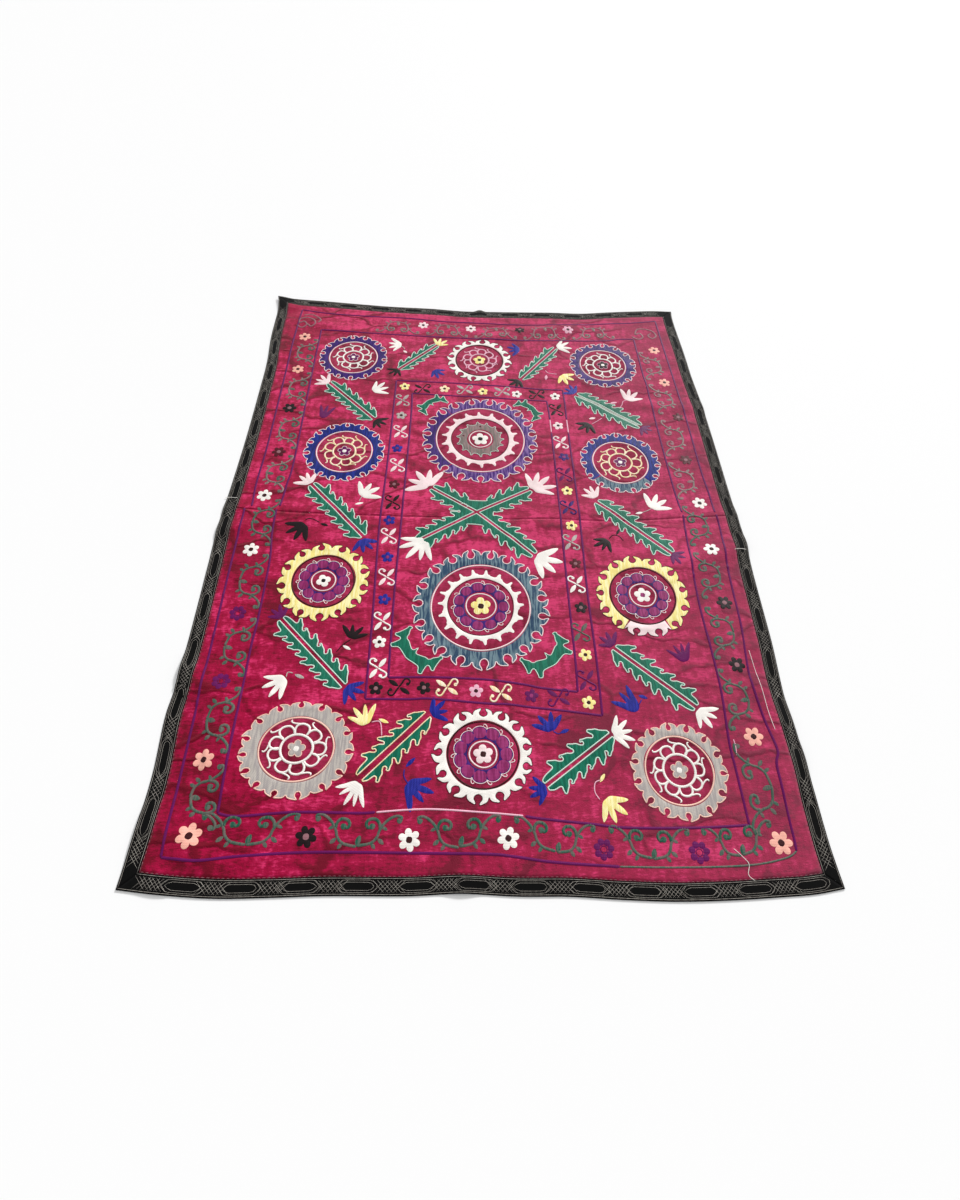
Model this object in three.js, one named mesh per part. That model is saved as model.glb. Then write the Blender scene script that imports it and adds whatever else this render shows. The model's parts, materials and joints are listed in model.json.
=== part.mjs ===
// A suzani: an embroidered velvet cloth, spread out on a flat surface with its soft folds.
//
// Two velvet panels meet at a seam across the middle. Four strips of black edging run round
// them and meet in mitres at the corners. Each piece is a thin closed sheet. All of them follow
// the same folds, and their undersides are flat at z = 0 wherever no fold lifts the cloth.
//
// Millimetres: +X runs across the cloth, +Y along it and +Z up. The tables are laid out from the
// middle of the embroidery, and the finished group is centred on the cloth's own outline.

import * as THREE from "three";

// Sizes of the pieces.
const CUT_WIDTH = 1610;
const CUT_LENGTH = 2143;
const VELVET_THICKNESS = 2.0;
const EDGING_THICKNESS = 2.4;
const EDGING_WIDTH = 39;
const PIECE_GAP = 0.3;

// How finely the sheets follow the folds.
const FACET_LENGTH = 43;
const FACETS_ACROSS_EDGING = 2;
const FOLD_STEPS = 20;

// Where the two long edges lie, left and right of the middle, from the near end to the far end.
const SIDE_EDGES = [
  { y: -1070, left: -808, right: 810 },
  { y: -975, left: -802, right: 804 },
  { y: -825, left: -796, right: 804 },
  { y: -675, left: -803, right: 800 },
  { y: -600, left: -798, right: 797 },
  { y: -450, left: -797, right: 805 },
  { y: -225, left: -799, right: 809 },
  { y: -75, left: -801, right: 814 },
  { y: 75, left: -794, right: 808 },
  { y: 300, left: -787, right: 805 },
  { y: 525, left: -785, right: 800 },
  { y: 675, left: -785, right: 791 },
  { y: 825, left: -795, right: 787 },
  { y: 975, left: -796, right: 780 },
  { y: 1040, left: -801, right: 780 },
  { y: 1075, left: -808, right: 783 },
];

// Where the two short edges lie, near and far, from left to right.
const END_EDGES = [
  { x: -808, near: -1065, far: 1080 },
  { x: -720, near: -1075, far: 1071 },
  { x: -600, near: -1083, far: 1062 },
  { x: -480, near: -1082, far: 1052 },
  { x: -360, near: -1079, far: 1043 },
  { x: -180, near: -1080, far: 1037 },
  { x: -60, near: -1076, far: 1028 },
  { x: 60, near: -1082, far: 1030 },
  { x: 180, near: -1083, far: 1034 },
  { x: 300, near: -1090, far: 1038 },
  { x: 420, near: -1094, far: 1038 },
  { x: 540, near: -1092, far: 1053 },
  { x: 660, near: -1086, far: 1066 },
  { x: 735, near: -1081, far: 1072 },
  { x: 806, near: -1070, far: 1072 },
];

// The seam between the panels runs a little uphill.
const SEAM = { leftY: 0, rightY: 12 };

// The far strip of edging is lapped over itself at its join, which stands out as a small lump.
const LAP = { across: 815, halfWidth: 28, outward: 10, thickness: 1.6 };

// Soft folds: each is a ridge over a curve through three points. reach is from its crest to where
// the cloth is flat again. An end named in open runs out over the edge of the cloth, and the
// other ends die away.
const FOLDS = [
  { name: "sweep", crest: [[-806, -540], [-672, -640], [-626, -880]], reach: 62, lift: 8.5, open: "start" },
  { name: "left corner", crest: [[-760, -865], [-715, -965], [-590, -1030]], reach: 55, lift: 5.5 },
  { name: "tip", crest: [[-806, -925], [-770, -1010], [-690, -1072]], reach: 48, lift: 4, open: "start" },
  { name: "slant", crest: [[812, -108], [690, -150], [550, -202]], reach: 52, lift: 7, open: "start" },
  { name: "right long sweep", crest: [[712, -300], [640, -520], [622, -760]], reach: 66, lift: 6 },
  { name: "near right edging", crest: [[716, -545], [766, -700], [692, -870]], reach: 55, lift: 8.5 },
  { name: "right tip", crest: [[806, -765], [740, -840], [668, -935]], reach: 50, lift: 5, open: "start" },
  { name: "far slant", crest: [[-10, 850], [190, 905], [420, 945]], reach: 50, lift: 7 },
  { name: "far crease", crest: [[262, 497], [530, 507], [802, 500]], reach: 48, lift: 3.5, open: "end" },
  { name: "seam, left", crest: [[-802, -2], [-520, 0], [-230, 4]], reach: 46, lift: 3, open: "start" },
  { name: "seam, right", crest: [[90, 6], [440, 8], [814, 12]], reach: 46, lift: 3.5, open: "end" },
  { name: "below the seam", crest: [[70, -125], [150, -50], [290, -28]], reach: 50, lift: 4.5 },
  { name: "above the seam", crest: [[-300, 60], [-235, 42], [-150, 62]], reach: 50, lift: 4 },
  { name: "far left edging", crest: [[-752, 985], [-728, 810], [-752, 640]], reach: 52, lift: 4.5 },
  { name: "left edge", crest: [[-802, -92], [-720, -66], [-615, -34]], reach: 48, lift: 4, open: "start" },
  { name: "far left border", crest: [[-735, 962], [-610, 912], [-460, 896]], reach: 50, lift: 4 },
  { name: "far tip", crest: [[-806, 1082], [-770, 1030], [-735, 990]], reach: 50, lift: 6, open: "start" },
  { name: "far right field", crest: [[330, 640], [520, 598], [700, 640]], reach: 60, lift: 3 },
  { name: "right of the middle", crest: [[190, 250], [300, 205], [420, 215]], reach: 55, lift: 3 },
  { name: "near end", crest: [[-60, -1084], [-30, -1010], [40, -940]], reach: 52, lift: 3.5, open: "start" },
];

const mix = THREE.MathUtils.lerp;
const unit = (value) => THREE.MathUtils.clamp(value, 0, 1);
const bell = (distance, reach) => 0.5 + 0.5 * Math.cos(Math.PI * unit(Math.abs(distance) / reach));

// One column of a table at a place between its rows, on a smooth curve through them.
function alongTable(rows, place, column, at) {
  let row = 0;
  while (row < rows.length - 2 && at > rows[row + 1][place]) row += 1;
  const slope = (index) => {
    const before = rows[Math.max(index - 1, 0)];
    const after = rows[Math.min(index + 1, rows.length - 1)];
    return (after[column] - before[column]) / (after[place] - before[place]);
  };
  const [start, end] = [rows[row], rows[row + 1]];
  const span = end[place] - start[place];
  const t = unit((at - start[place]) / span);
  const u = 1 - t;
  return (
    start[column] * (1 + 2 * t) * u * u +
    end[column] * (1 + 2 * u) * t * t +
    span * t * u * (slope(row) * u - slope(row + 1) * t)
  );
}

// How far the lapped join stands out at a distance across the cut cloth: 0 away from it, 1 at it.
const lapAt = (across) => bell(across - LAP.across, LAP.halfWidth);

// Where a point of the cut cloth lies once it is spread out. across and along are measured on
// the cut rectangle from its near left corner.
function spread(across, along) {
  const u = across / CUT_WIDTH;
  const v = along / CUT_LENGTH;
  const y = mix(SIDE_EDGES[0].y, SIDE_EDGES.at(-1).y, v);
  const x = mix(END_EDGES[0].x, END_EDGES.at(-1).x, u);
  const intoFarStrip = unit((along - (CUT_LENGTH - EDGING_WIDTH)) / EDGING_WIDTH);
  return {
    x: mix(alongTable(SIDE_EDGES, "y", "left", y), alongTable(SIDE_EDGES, "y", "right", y), u),
    y:
      mix(alongTable(END_EDGES, "x", "near", x), alongTable(END_EDGES, "x", "far", x), v) +
      LAP.outward * lapAt(across) * intoFarStrip,
    intoFarStrip,
    across,
  };
}

// The crest of a fold as a row of points.
function crestPoints(fold) {
  const corners = fold.crest.map(([x, y]) => new THREE.Vector2(x, y));
  return new THREE.SplineCurve(corners).getPoints(FOLD_STEPS);
}

const RIDGES = FOLDS.map((fold) => ({ ...fold, points: crestPoints(fold) }));

// How high one fold lifts the cloth at a point.
function liftAt(fold, x, y) {
  let nearest = { distance: Infinity, t: 0 };
  for (let step = 0; step < FOLD_STEPS; step += 1) {
    const [a, b] = [fold.points[step], fold.points[step + 1]];
    const along = new THREE.Vector2().subVectors(b, a);
    const s = unit(((x - a.x) * along.x + (y - a.y) * along.y) / along.lengthSq());
    const distance = Math.hypot(x - a.x - s * along.x, y - a.y - s * along.y);
    if (distance < nearest.distance) nearest = { distance, t: (step + s) / FOLD_STEPS };
  }
  const rise = fold.open === "start" ? 1 : Math.sin(0.5 * Math.PI * unit(3 * nearest.t));
  const fall = fold.open === "end" ? 1 : Math.sin(0.5 * Math.PI * unit(3 * (1 - nearest.t)));
  return fold.lift * rise * fall * bell(nearest.distance, fold.reach);
}

// Height of the cloth's underside above the surface it lies on.
function undersideHeight(x, y) {
  return RIDGES.reduce((height, fold) => height + liftAt(fold, x, y), 0);
}

// A closed sheet on a grid of spread points. Rows of the grid run along +Y and columns along +X.
function sheetGeometry(grid, thicknessAt) {
  const [rows, columns] = [grid.length, grid[0].length];
  const positions = [];
  for (const layer of [0, 1]) {
    for (const point of grid.flat()) {
      const base = undersideHeight(point.x, point.y);
      positions.push(point.x, point.y, base + layer * thicknessAt(point));
    }
  }
  const under = (row, column) => row * columns + column;
  const above = rows * columns;
  const faces = [];
  for (let row = 0; row < rows - 1; row += 1) {
    for (let column = 0; column < columns - 1; column += 1) {
      const [a, b] = [under(row, column), under(row, column + 1)];
      const [d, c] = [under(row + 1, column), under(row + 1, column + 1)];
      faces.push(above + a, above + b, above + c, above + a, above + c, above + d);
      faces.push(a, c, b, a, d, c);
    }
  }
  const rim = [];
  for (let column = 0; column < columns - 1; column += 1) rim.push(under(0, column));
  for (let row = 0; row < rows - 1; row += 1) rim.push(under(row, columns - 1));
  for (let column = columns - 1; column > 0; column -= 1) rim.push(under(rows - 1, column));
  for (let row = rows - 1; row > 0; row -= 1) rim.push(under(row, 0));
  rim.forEach((p, index) => {
    const q = rim[(index + 1) % rim.length];
    faces.push(p, q, above + q, p, above + q, above + p);
  });
  const geometry = new THREE.BufferGeometry();
  geometry.setAttribute("position", new THREE.Float32BufferAttribute(positions, 3));
  geometry.setIndex(faces);
  geometry.computeVertexNormals();
  return geometry;
}

// Evenly spaced values from one to another, about a facet apart.
function steps(from, to, count = Math.round(Math.abs(to - from) / FACET_LENGTH)) {
  return Array.from({ length: count + 1 }, (_, index) => mix(from, to, index / count));
}

// The velvet lies inside the edging, and its grid lines are shared by the edging strips.
const VELVET_LEFT = EDGING_WIDTH + PIECE_GAP;
const VELVET_RIGHT = CUT_WIDTH - VELVET_LEFT;
const VELVET_NEAR = EDGING_WIDTH + PIECE_GAP;
const VELVET_FAR = CUT_LENGTH - VELVET_NEAR;
const ACROSS = steps(VELVET_LEFT, VELVET_RIGHT);

// Distance along the cut cloth to the seam, at a distance across it.
function seamAlong(across) {
  const y = mix(SEAM.leftY, SEAM.rightY, across / CUT_WIDTH);
  return (CUT_LENGTH * (y - END_EDGES[0].near)) / (END_EDGES[0].far - END_EDGES[0].near);
}

// Grid lines of the nearer and the farther panel at a distance across the cut cloth.
const NEAR_ROWS = Math.round((seamAlong(0) - VELVET_NEAR) / FACET_LENGTH);
const FAR_ROWS = Math.round((VELVET_FAR - seamAlong(0)) / FACET_LENGTH);
const nearLines = (across) => steps(VELVET_NEAR, seamAlong(across) - PIECE_GAP / 2, NEAR_ROWS);
const farLines = (across) => steps(seamAlong(across) + PIECE_GAP / 2, VELVET_FAR, FAR_ROWS);

// A velvet panel between two ends of its grid lines.
function panelGrid(lines, rowCount) {
  return Array.from({ length: rowCount + 1 }, (_, row) =>
    ACROSS.map((across) => spread(across, lines(across)[row])),
  );
}

// Distances into an edging strip from the cloth's edge, and the clearance at its mitred ends.
const INTO_EDGING = steps(0, EDGING_WIDTH, FACETS_ACROSS_EDGING);
const MITRE_CLEARANCE = PIECE_GAP / Math.SQRT2;

// A strip along a long edge. Its ends are cut at 45 degrees, towards the corners of the cloth.
function sideStripGrid(isRight) {
  const beside = isRight ? CUT_WIDTH - EDGING_WIDTH : EDGING_WIDTH;
  const inner = [...nearLines(beside).slice(1, -1), seamAlong(beside), ...farLines(beside).slice(1, -1)];
  const depths = isRight ? INTO_EDGING.toReversed() : INTO_EDGING;
  const across = (depth) => (isRight ? CUT_WIDTH - depth : depth);
  return [
    depths.map((depth) => spread(across(depth), depth + MITRE_CLEARANCE)),
    ...inner.map((along) => depths.map((depth) => spread(across(depth), along))),
    depths.map((depth) => spread(across(depth), CUT_LENGTH - depth - MITRE_CLEARANCE)),
  ];
}

// A strip along a short edge. The far one has two more grid lines, at the lapped join.
function endStripGrid(isFar) {
  const lapLines = isFar ? [LAP.across - LAP.halfWidth / 2, LAP.across + LAP.halfWidth / 2] : [];
  const inner = [...ACROSS.slice(1, -1), ...lapLines].sort((a, b) => a - b);
  const depths = isFar ? INTO_EDGING.toReversed() : INTO_EDGING;
  const along = (depth) => (isFar ? CUT_LENGTH - depth : depth);
  return depths.map((depth) => [
    spread(depth + MITRE_CLEARANCE, along(depth)),
    ...inner.map((across) => spread(across, along(depth))),
    spread(CUT_WIDTH - depth - MITRE_CLEARANCE, along(depth)),
  ]);
}

const VELVET = { color: 0xb01848, roughness: 0.85, metalness: 0 };
const EDGING = { color: 0x1b1918, roughness: 0.7, metalness: 0 };

const velvetThickness = () => VELVET_THICKNESS;
const edgingThickness = ({ across, intoFarStrip }) =>
  EDGING_THICKNESS + LAP.thickness * lapAt(across) * Math.sqrt(intoFarStrip);

const PIECES = [
  { name: "velvet_near", grid: panelGrid(nearLines, NEAR_ROWS), thickness: velvetThickness, finish: VELVET },
  { name: "velvet_far", grid: panelGrid(farLines, FAR_ROWS), thickness: velvetThickness, finish: VELVET },
  { name: "edging_left", grid: sideStripGrid(false), thickness: edgingThickness, finish: EDGING },
  { name: "edging_right", grid: sideStripGrid(true), thickness: edgingThickness, finish: EDGING },
  { name: "edging_near", grid: endStripGrid(false), thickness: edgingThickness, finish: EDGING },
  { name: "edging_far", grid: endStripGrid(true), thickness: edgingThickness, finish: EDGING },
];

const suzani = new THREE.Group();
const outline = new THREE.Box2();
for (const piece of PIECES) {
  const mesh = new THREE.Mesh(
    sheetGeometry(piece.grid, piece.thickness),
    new THREE.MeshStandardMaterial(piece.finish),
  );
  mesh.name = piece.name;
  suzani.add(mesh);
  for (const point of piece.grid.flat()) outline.expandByPoint(new THREE.Vector2(point.x, point.y));
}
const middle = outline.getCenter(new THREE.Vector2());
suzani.position.set(-middle.x, -middle.y, 0);

export default suzani;
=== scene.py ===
"""A suzani: two velvet panels in chain-stitch embroidery, edged in black, spread out on a floor.

The solids of the frame give the main folds. Here the panels and the edging get their fine creases
and their cloth, and the embroidery is worked on top of them, each thread as raised stitches that
follow the cloth. Every table is laid out in millimetres from the middle of the embroidery, with
+X across the cloth, +Y along it and +Z up.
"""

import json
import logging
import math
from collections.abc import Callable, Sequence
from dataclasses import dataclass, field
from enum import Enum
from functools import partial
from pathlib import Path

import bpy
import numpy as np
from mathutils import Matrix, Vector
from mathutils.geometry import delaunay_2d_cdt
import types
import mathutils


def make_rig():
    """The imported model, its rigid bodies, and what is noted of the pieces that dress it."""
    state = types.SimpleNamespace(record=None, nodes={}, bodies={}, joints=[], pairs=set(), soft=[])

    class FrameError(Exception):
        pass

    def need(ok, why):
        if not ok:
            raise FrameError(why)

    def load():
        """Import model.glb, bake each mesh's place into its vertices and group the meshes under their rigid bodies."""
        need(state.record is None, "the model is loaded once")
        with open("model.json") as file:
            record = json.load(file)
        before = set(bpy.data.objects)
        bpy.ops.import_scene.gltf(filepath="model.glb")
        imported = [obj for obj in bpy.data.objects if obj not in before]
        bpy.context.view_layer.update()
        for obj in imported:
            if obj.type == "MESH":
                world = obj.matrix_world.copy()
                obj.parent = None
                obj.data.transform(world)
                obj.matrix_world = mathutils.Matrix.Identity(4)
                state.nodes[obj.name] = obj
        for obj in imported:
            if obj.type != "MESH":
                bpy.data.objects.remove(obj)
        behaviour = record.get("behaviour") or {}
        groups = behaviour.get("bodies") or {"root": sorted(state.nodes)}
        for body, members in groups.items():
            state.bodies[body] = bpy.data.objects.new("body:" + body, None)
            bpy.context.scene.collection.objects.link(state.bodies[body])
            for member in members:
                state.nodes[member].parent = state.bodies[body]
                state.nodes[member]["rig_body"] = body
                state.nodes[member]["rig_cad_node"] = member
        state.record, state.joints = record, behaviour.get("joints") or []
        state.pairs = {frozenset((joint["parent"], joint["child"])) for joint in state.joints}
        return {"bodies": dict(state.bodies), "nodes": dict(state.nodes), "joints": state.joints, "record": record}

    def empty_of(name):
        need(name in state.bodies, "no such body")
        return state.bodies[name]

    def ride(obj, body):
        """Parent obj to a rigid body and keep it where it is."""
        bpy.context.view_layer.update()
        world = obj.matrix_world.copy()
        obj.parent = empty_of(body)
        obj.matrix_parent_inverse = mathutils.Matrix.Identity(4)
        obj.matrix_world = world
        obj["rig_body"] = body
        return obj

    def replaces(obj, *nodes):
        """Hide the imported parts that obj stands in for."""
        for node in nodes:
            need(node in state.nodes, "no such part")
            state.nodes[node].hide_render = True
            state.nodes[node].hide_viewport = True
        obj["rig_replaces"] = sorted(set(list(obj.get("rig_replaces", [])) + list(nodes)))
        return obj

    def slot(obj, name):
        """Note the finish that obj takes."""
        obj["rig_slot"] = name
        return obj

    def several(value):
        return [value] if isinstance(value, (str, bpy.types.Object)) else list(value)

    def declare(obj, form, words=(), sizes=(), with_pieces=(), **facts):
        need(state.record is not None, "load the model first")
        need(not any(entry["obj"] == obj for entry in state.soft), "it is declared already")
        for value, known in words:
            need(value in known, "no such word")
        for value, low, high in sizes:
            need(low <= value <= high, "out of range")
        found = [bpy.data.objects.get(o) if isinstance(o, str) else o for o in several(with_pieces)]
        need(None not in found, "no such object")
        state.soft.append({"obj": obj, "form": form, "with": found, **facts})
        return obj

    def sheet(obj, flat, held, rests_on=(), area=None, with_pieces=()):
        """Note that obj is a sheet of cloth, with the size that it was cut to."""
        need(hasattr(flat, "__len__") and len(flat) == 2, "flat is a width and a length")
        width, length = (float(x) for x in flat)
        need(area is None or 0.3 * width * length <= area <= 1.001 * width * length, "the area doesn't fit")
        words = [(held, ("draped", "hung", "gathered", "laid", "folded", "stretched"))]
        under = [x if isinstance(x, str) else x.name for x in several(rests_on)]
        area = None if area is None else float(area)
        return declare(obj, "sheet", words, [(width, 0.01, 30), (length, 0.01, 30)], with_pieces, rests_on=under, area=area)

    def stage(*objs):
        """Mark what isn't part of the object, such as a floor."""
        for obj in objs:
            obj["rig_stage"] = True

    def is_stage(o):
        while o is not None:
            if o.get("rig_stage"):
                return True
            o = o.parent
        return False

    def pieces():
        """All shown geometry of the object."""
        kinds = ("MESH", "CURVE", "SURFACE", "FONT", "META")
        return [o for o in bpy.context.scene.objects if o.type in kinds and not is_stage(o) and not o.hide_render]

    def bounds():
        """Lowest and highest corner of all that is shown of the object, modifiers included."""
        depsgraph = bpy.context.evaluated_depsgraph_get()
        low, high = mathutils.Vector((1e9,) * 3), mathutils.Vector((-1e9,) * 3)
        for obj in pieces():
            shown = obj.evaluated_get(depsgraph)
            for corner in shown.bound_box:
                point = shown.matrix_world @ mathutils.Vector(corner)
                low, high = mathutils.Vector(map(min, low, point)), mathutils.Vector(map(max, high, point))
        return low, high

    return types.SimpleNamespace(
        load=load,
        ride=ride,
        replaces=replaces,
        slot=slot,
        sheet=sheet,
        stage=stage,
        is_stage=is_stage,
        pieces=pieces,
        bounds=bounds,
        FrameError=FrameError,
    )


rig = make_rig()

log = logging.getLogger("suzani")

Point = tuple[float, float]
Points = np.ndarray
Hook = Callable[[float, float], Points]
Random = np.random.Generator
Socket = bpy.types.NodeSocket
Piece = bpy.types.Object

# The tables are laid out from the middle of the embroidery, and the part from its outline's middle.
OUTLINE_MIDDLE = np.array([3.0, -7.0])
MILLIMETRE = 0.001
FULL_TURN = 2 * math.pi

# Limits that keep divisions safe where points fall together.
SHORTEST_STEP = 1e-6
SHORTEST_WAY = 1e-9
LEAST_SQUARE = 1e-12


# ------------------------ curves and numbers


def mix(start: float, end: float, share: float) -> float:
    """A value part of the way from start to end."""
    return start + (end - start) * share


def bell(distance: Points, reach: float) -> Points:
    """A smooth hump, 1 at no distance and 0 from its reach on."""
    return 0.5 + 0.5 * np.cos(np.pi * np.clip(np.abs(distance) / reach, 0, 1))


def smooth_step(share: Points) -> Points:
    """Ease from 0 to 1 over a share from 0 to 1."""
    share = np.clip(share, 0, 1)
    return share * share * (3 - 2 * share)


def unit_vector(angle: float) -> Points:
    """The direction of an angle in radians, anticlockwise from +X."""
    return np.array([math.cos(angle), math.sin(angle)])


def direction_of(start: Sequence[float], end: Sequence[float]) -> float:
    """The angle of the way from start to end, in radians."""
    return math.atan2(end[1] - start[1], end[0] - start[0])


def along_table(places: Points, values: Points, at: Points) -> Points:
    """Values between a table's rows, on a smooth curve through them.

    Args:
        places: The rows' places, rising.
        values: The rows' values.
        at: Where to read the curve.

    Returns:
        One value for each place in at.
    """
    index = np.arange(len(places))
    before, after = np.maximum(index - 1, 0), np.minimum(index + 1, len(places) - 1)
    slopes = (values[after] - values[before]) / (places[after] - places[before])
    row = np.clip(np.searchsorted(places, at) - 1, 0, len(places) - 2)
    span = places[row + 1] - places[row]
    t = np.clip((at - places[row]) / span, 0, 1)
    u = 1 - t
    return (
        values[row] * (1 + 2 * t) * u * u
        + values[row + 1] * (1 + 2 * u) * t * t
        + span * t * u * (slopes[row] * u - slopes[row + 1] * t)
    )


def curve_through(points: Sequence[Point], closed: bool = False, steps: int = 12) -> Points:
    """A smooth curve through points, as a row of many points."""
    knots = np.asarray(points, dtype=float)
    count = len(knots)
    if count < 3:
        closed = False
    spans = count if closed else count - 1
    index = np.arange(spans)[:, None] + np.array([-1, 0, 1, 2])[None, :]
    index = index % count if closed else np.clip(index, 0, count - 1)
    a, b, c, d = (knots[index[:, column]][:, None, :] for column in range(4))
    t = (np.arange(steps) / steps)[None, :, None]
    curve = 0.5 * (
        2 * b + (c - a) * t + (2 * a - 5 * b + 4 * c - d) * t**2 + (3 * b - a - 3 * c + d) * t**3
    )
    curve = curve.reshape(-1, 2)
    return curve if closed else np.vstack([curve, knots[-1]])


def arc(centre: Point, radius: float, start: float, end: float, count: int = 5) -> list[Point]:
    """Points on an arc, from one angle in degrees to another."""
    angles = np.radians(np.linspace(start, end, count))
    return [(centre[0] + radius * math.cos(a), centre[1] + radius * math.sin(a)) for a in angles]


def evenly_along(path: Points, step: float, closed: bool = False) -> Points:
    """The same path with its points about a step apart."""
    line = np.vstack([path, path[:1]]) if closed else path
    lengths = np.hypot(*np.diff(line, axis=0).T)
    line = line[np.concatenate([[True], lengths > SHORTEST_STEP])]
    travelled = np.concatenate([[0], np.cumsum(np.hypot(*np.diff(line, axis=0).T))])
    count = max(int(round(travelled[-1] / step)), 3 if closed else 2)
    at = np.linspace(0, travelled[-1], count + 1)
    even = np.column_stack([np.interp(at, travelled, line[:, axis]) for axis in (0, 1)])
    return even[:-1] if closed else even


def beside(path: Points, distance: Points | float, closed: bool = False) -> Points:
    """The path moved sideways, to its left for a positive distance."""
    if closed:
        forward = np.roll(path, -1, axis=0) - np.roll(path, 1, axis=0)
    else:
        forward = np.gradient(path, axis=0)
    forward /= np.maximum(np.hypot(*forward.T), SHORTEST_WAY)[:, None]
    left = np.column_stack([-forward[:, 1], forward[:, 0]])
    return path + left * (distance[:, None] if isinstance(distance, np.ndarray) else distance)


def placed(shape: Sequence[Point], at: Point, angle: float = 0.0, scale: float = 1.0) -> Points:
    """A shape turned by an angle in radians, scaled and moved to a point."""
    cosine, sine = math.cos(angle) * scale, math.sin(angle) * scale
    return np.asarray(shape, dtype=float) @ np.array([[cosine, sine], [-sine, cosine]]) + at


def mirrored(shape: Sequence[Point]) -> Points:
    """A shape with its left and right changed over."""
    return np.asarray(shape, dtype=float) * (-1, 1)


def polar(
    angle: Points | Sequence[float] | float,
    radius: Points | Sequence[float] | float,
    centre: Point = (0.0, 0.0),
    squash: float = 1.0,
) -> Points:
    """Points from angles and radii round a centre, with their height squashed."""
    angle, radius = np.asarray(angle), np.asarray(radius)
    return np.stack([np.cos(angle) * radius, np.sin(angle) * radius * squash], axis=-1) + centre


def ring_angles(count: int) -> Points:
    """Angles evenly round a full turn."""
    return np.linspace(0, FULL_TURN, count, endpoint=False)


def is_inside(points: Points, outline: Points) -> Points:
    """Which points lie inside a closed outline."""
    inside = np.zeros(len(points), dtype=bool)
    x, y = points[:, 0], points[:, 1]
    for (x0, y0), (x1, y1) in zip(outline, np.roll(outline, -1, axis=0)):
        if y0 != y1:
            crosses = (y0 > y) != (y1 > y)
            inside ^= crosses & (x < (x1 - x0) * (y - y0) / (y1 - y0) + x0)
    return inside


def distance_to(points: Points, path: Points, closed: bool = False) -> tuple[Points, Points]:
    """How far points are from a path, and how far along it their nearest places are, 0 to 1."""
    starts = path if closed else path[:-1]
    ends = np.roll(path, -1, axis=0) if closed else path[1:]
    nearest = np.full(len(points), np.inf)
    share = np.zeros(len(points))
    for index, (start, end) in enumerate(zip(starts, ends)):
        way = end - start
        s = np.clip((points - start) @ way / max(way @ way, LEAST_SQUARE), 0, 1)
        gap = np.hypot(*(points - start - s[:, None] * way).T)
        closer = gap < nearest
        nearest[closer] = gap[closer]
        share[closer] = (index + s[closer]) / len(starts)
    return nearest, share


class ValueNoise:
    """Smooth seeded noise between -1 and 1."""

    def __init__(self, seed: int, size: int = 64) -> None:
        """Draw the noise's grid from a seed."""
        self.size = size
        self.grid = np.random.default_rng(seed).uniform(-1, 1, (size, size))

    def at(self, x: Points, y: Points) -> Points:
        """The noise at places measured in its own grid's steps."""
        column, row = np.floor(x).astype(int), np.floor(y).astype(int)
        u, v = smooth_step(x - column), smooth_step(y - row)
        left, right = column % self.size, (column + 1) % self.size
        near, far = row % self.size, (row + 1) % self.size
        low = self.grid[near, left] * (1 - u) + self.grid[near, right] * u
        high = self.grid[far, left] * (1 - u) + self.grid[far, right] * u
        return low * (1 - v) + high * v


# ------------------------ the cloth's shape


class OpenEnd(Enum):
    """Which end of a fold runs out over the edge of the cloth."""

    NONE = "none"
    START = "start"
    FINISH = "finish"


@dataclass(frozen=True)
class Fold:
    """A soft ridge over a curve through three points."""

    crest: tuple[Point, Point, Point]
    reach: float
    lift: float
    open_end: OpenEnd = OpenEnd.NONE

    # It rises over its first third and comes down over its last.
    THIRDS = 3

    def lift_at(self, points: Points) -> Points:
        """How high the fold lifts the cloth at points."""
        crest = curve_through(self.crest, steps=10)
        gap, t = distance_to(points, crest)
        rise = np.sin(0.5 * np.pi * np.clip(self.THIRDS * t, 0, 1))
        fall = np.sin(0.5 * np.pi * np.clip(self.THIRDS * (1 - t), 0, 1))
        if self.open_end is OpenEnd.START:
            rise = 1.0
        if self.open_end is OpenEnd.FINISH:
            fall = 1.0
        return self.lift * rise * fall * bell(gap, self.reach)


START, FINISH = OpenEnd.START, OpenEnd.FINISH

# The main folds, as the solids have them: three points of the crest, the reach, the lift and the
# end that runs out over the edge.
FOLDS = tuple(Fold(row[:3], *row[3:]) for row in (
    ((-806, -540), (-672, -640), (-626, -880), 62, 8.5, START),  # sweep
    ((-760, -865), (-715, -965), (-590, -1030), 55, 5.5),  # left corner
    ((-806, -925), (-770, -1010), (-690, -1072), 48, 4, START),  # tip
    ((812, -108), (690, -150), (550, -202), 52, 7, START),  # slant
    ((712, -300), (640, -520), (622, -760), 66, 6),  # right long sweep
    ((716, -545), (766, -700), (692, -870), 55, 8.5),  # near right edging
    ((806, -765), (740, -840), (668, -935), 50, 5, START),  # right tip
    ((-10, 850), (190, 905), (420, 945), 50, 7),  # far slant
    ((262, 497), (530, 507), (802, 500), 48, 3.5, FINISH),  # far crease
    ((-802, -2), (-520, 0), (-230, 4), 46, 3, START),  # seam, left
    ((90, 6), (440, 8), (814, 12), 46, 3.5, FINISH),  # seam, right
    ((70, -125), (150, -50), (290, -28), 50, 4.5),  # below the seam
    ((-300, 60), (-235, 42), (-150, 62), 50, 4),  # above the seam
    ((-752, 985), (-728, 810), (-752, 640), 52, 4.5),  # far left edging
    ((-802, -92), (-720, -66), (-615, -34), 48, 4, START),  # left edge
    ((-735, 962), (-610, 912), (-460, 896), 50, 4),  # far left border
    ((-806, 1082), (-770, 1030), (-735, 990), 50, 6, START),  # far tip
    ((330, 640), (520, 598), (700, 640), 60, 3),  # far right field
    ((190, 250), (300, 205), (420, 215), 55, 3),  # right of the middle
    ((-60, -1084), (-30, -1010), (40, -940), 52, 3.5, START),  # near end
))  # fmt: skip

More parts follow.
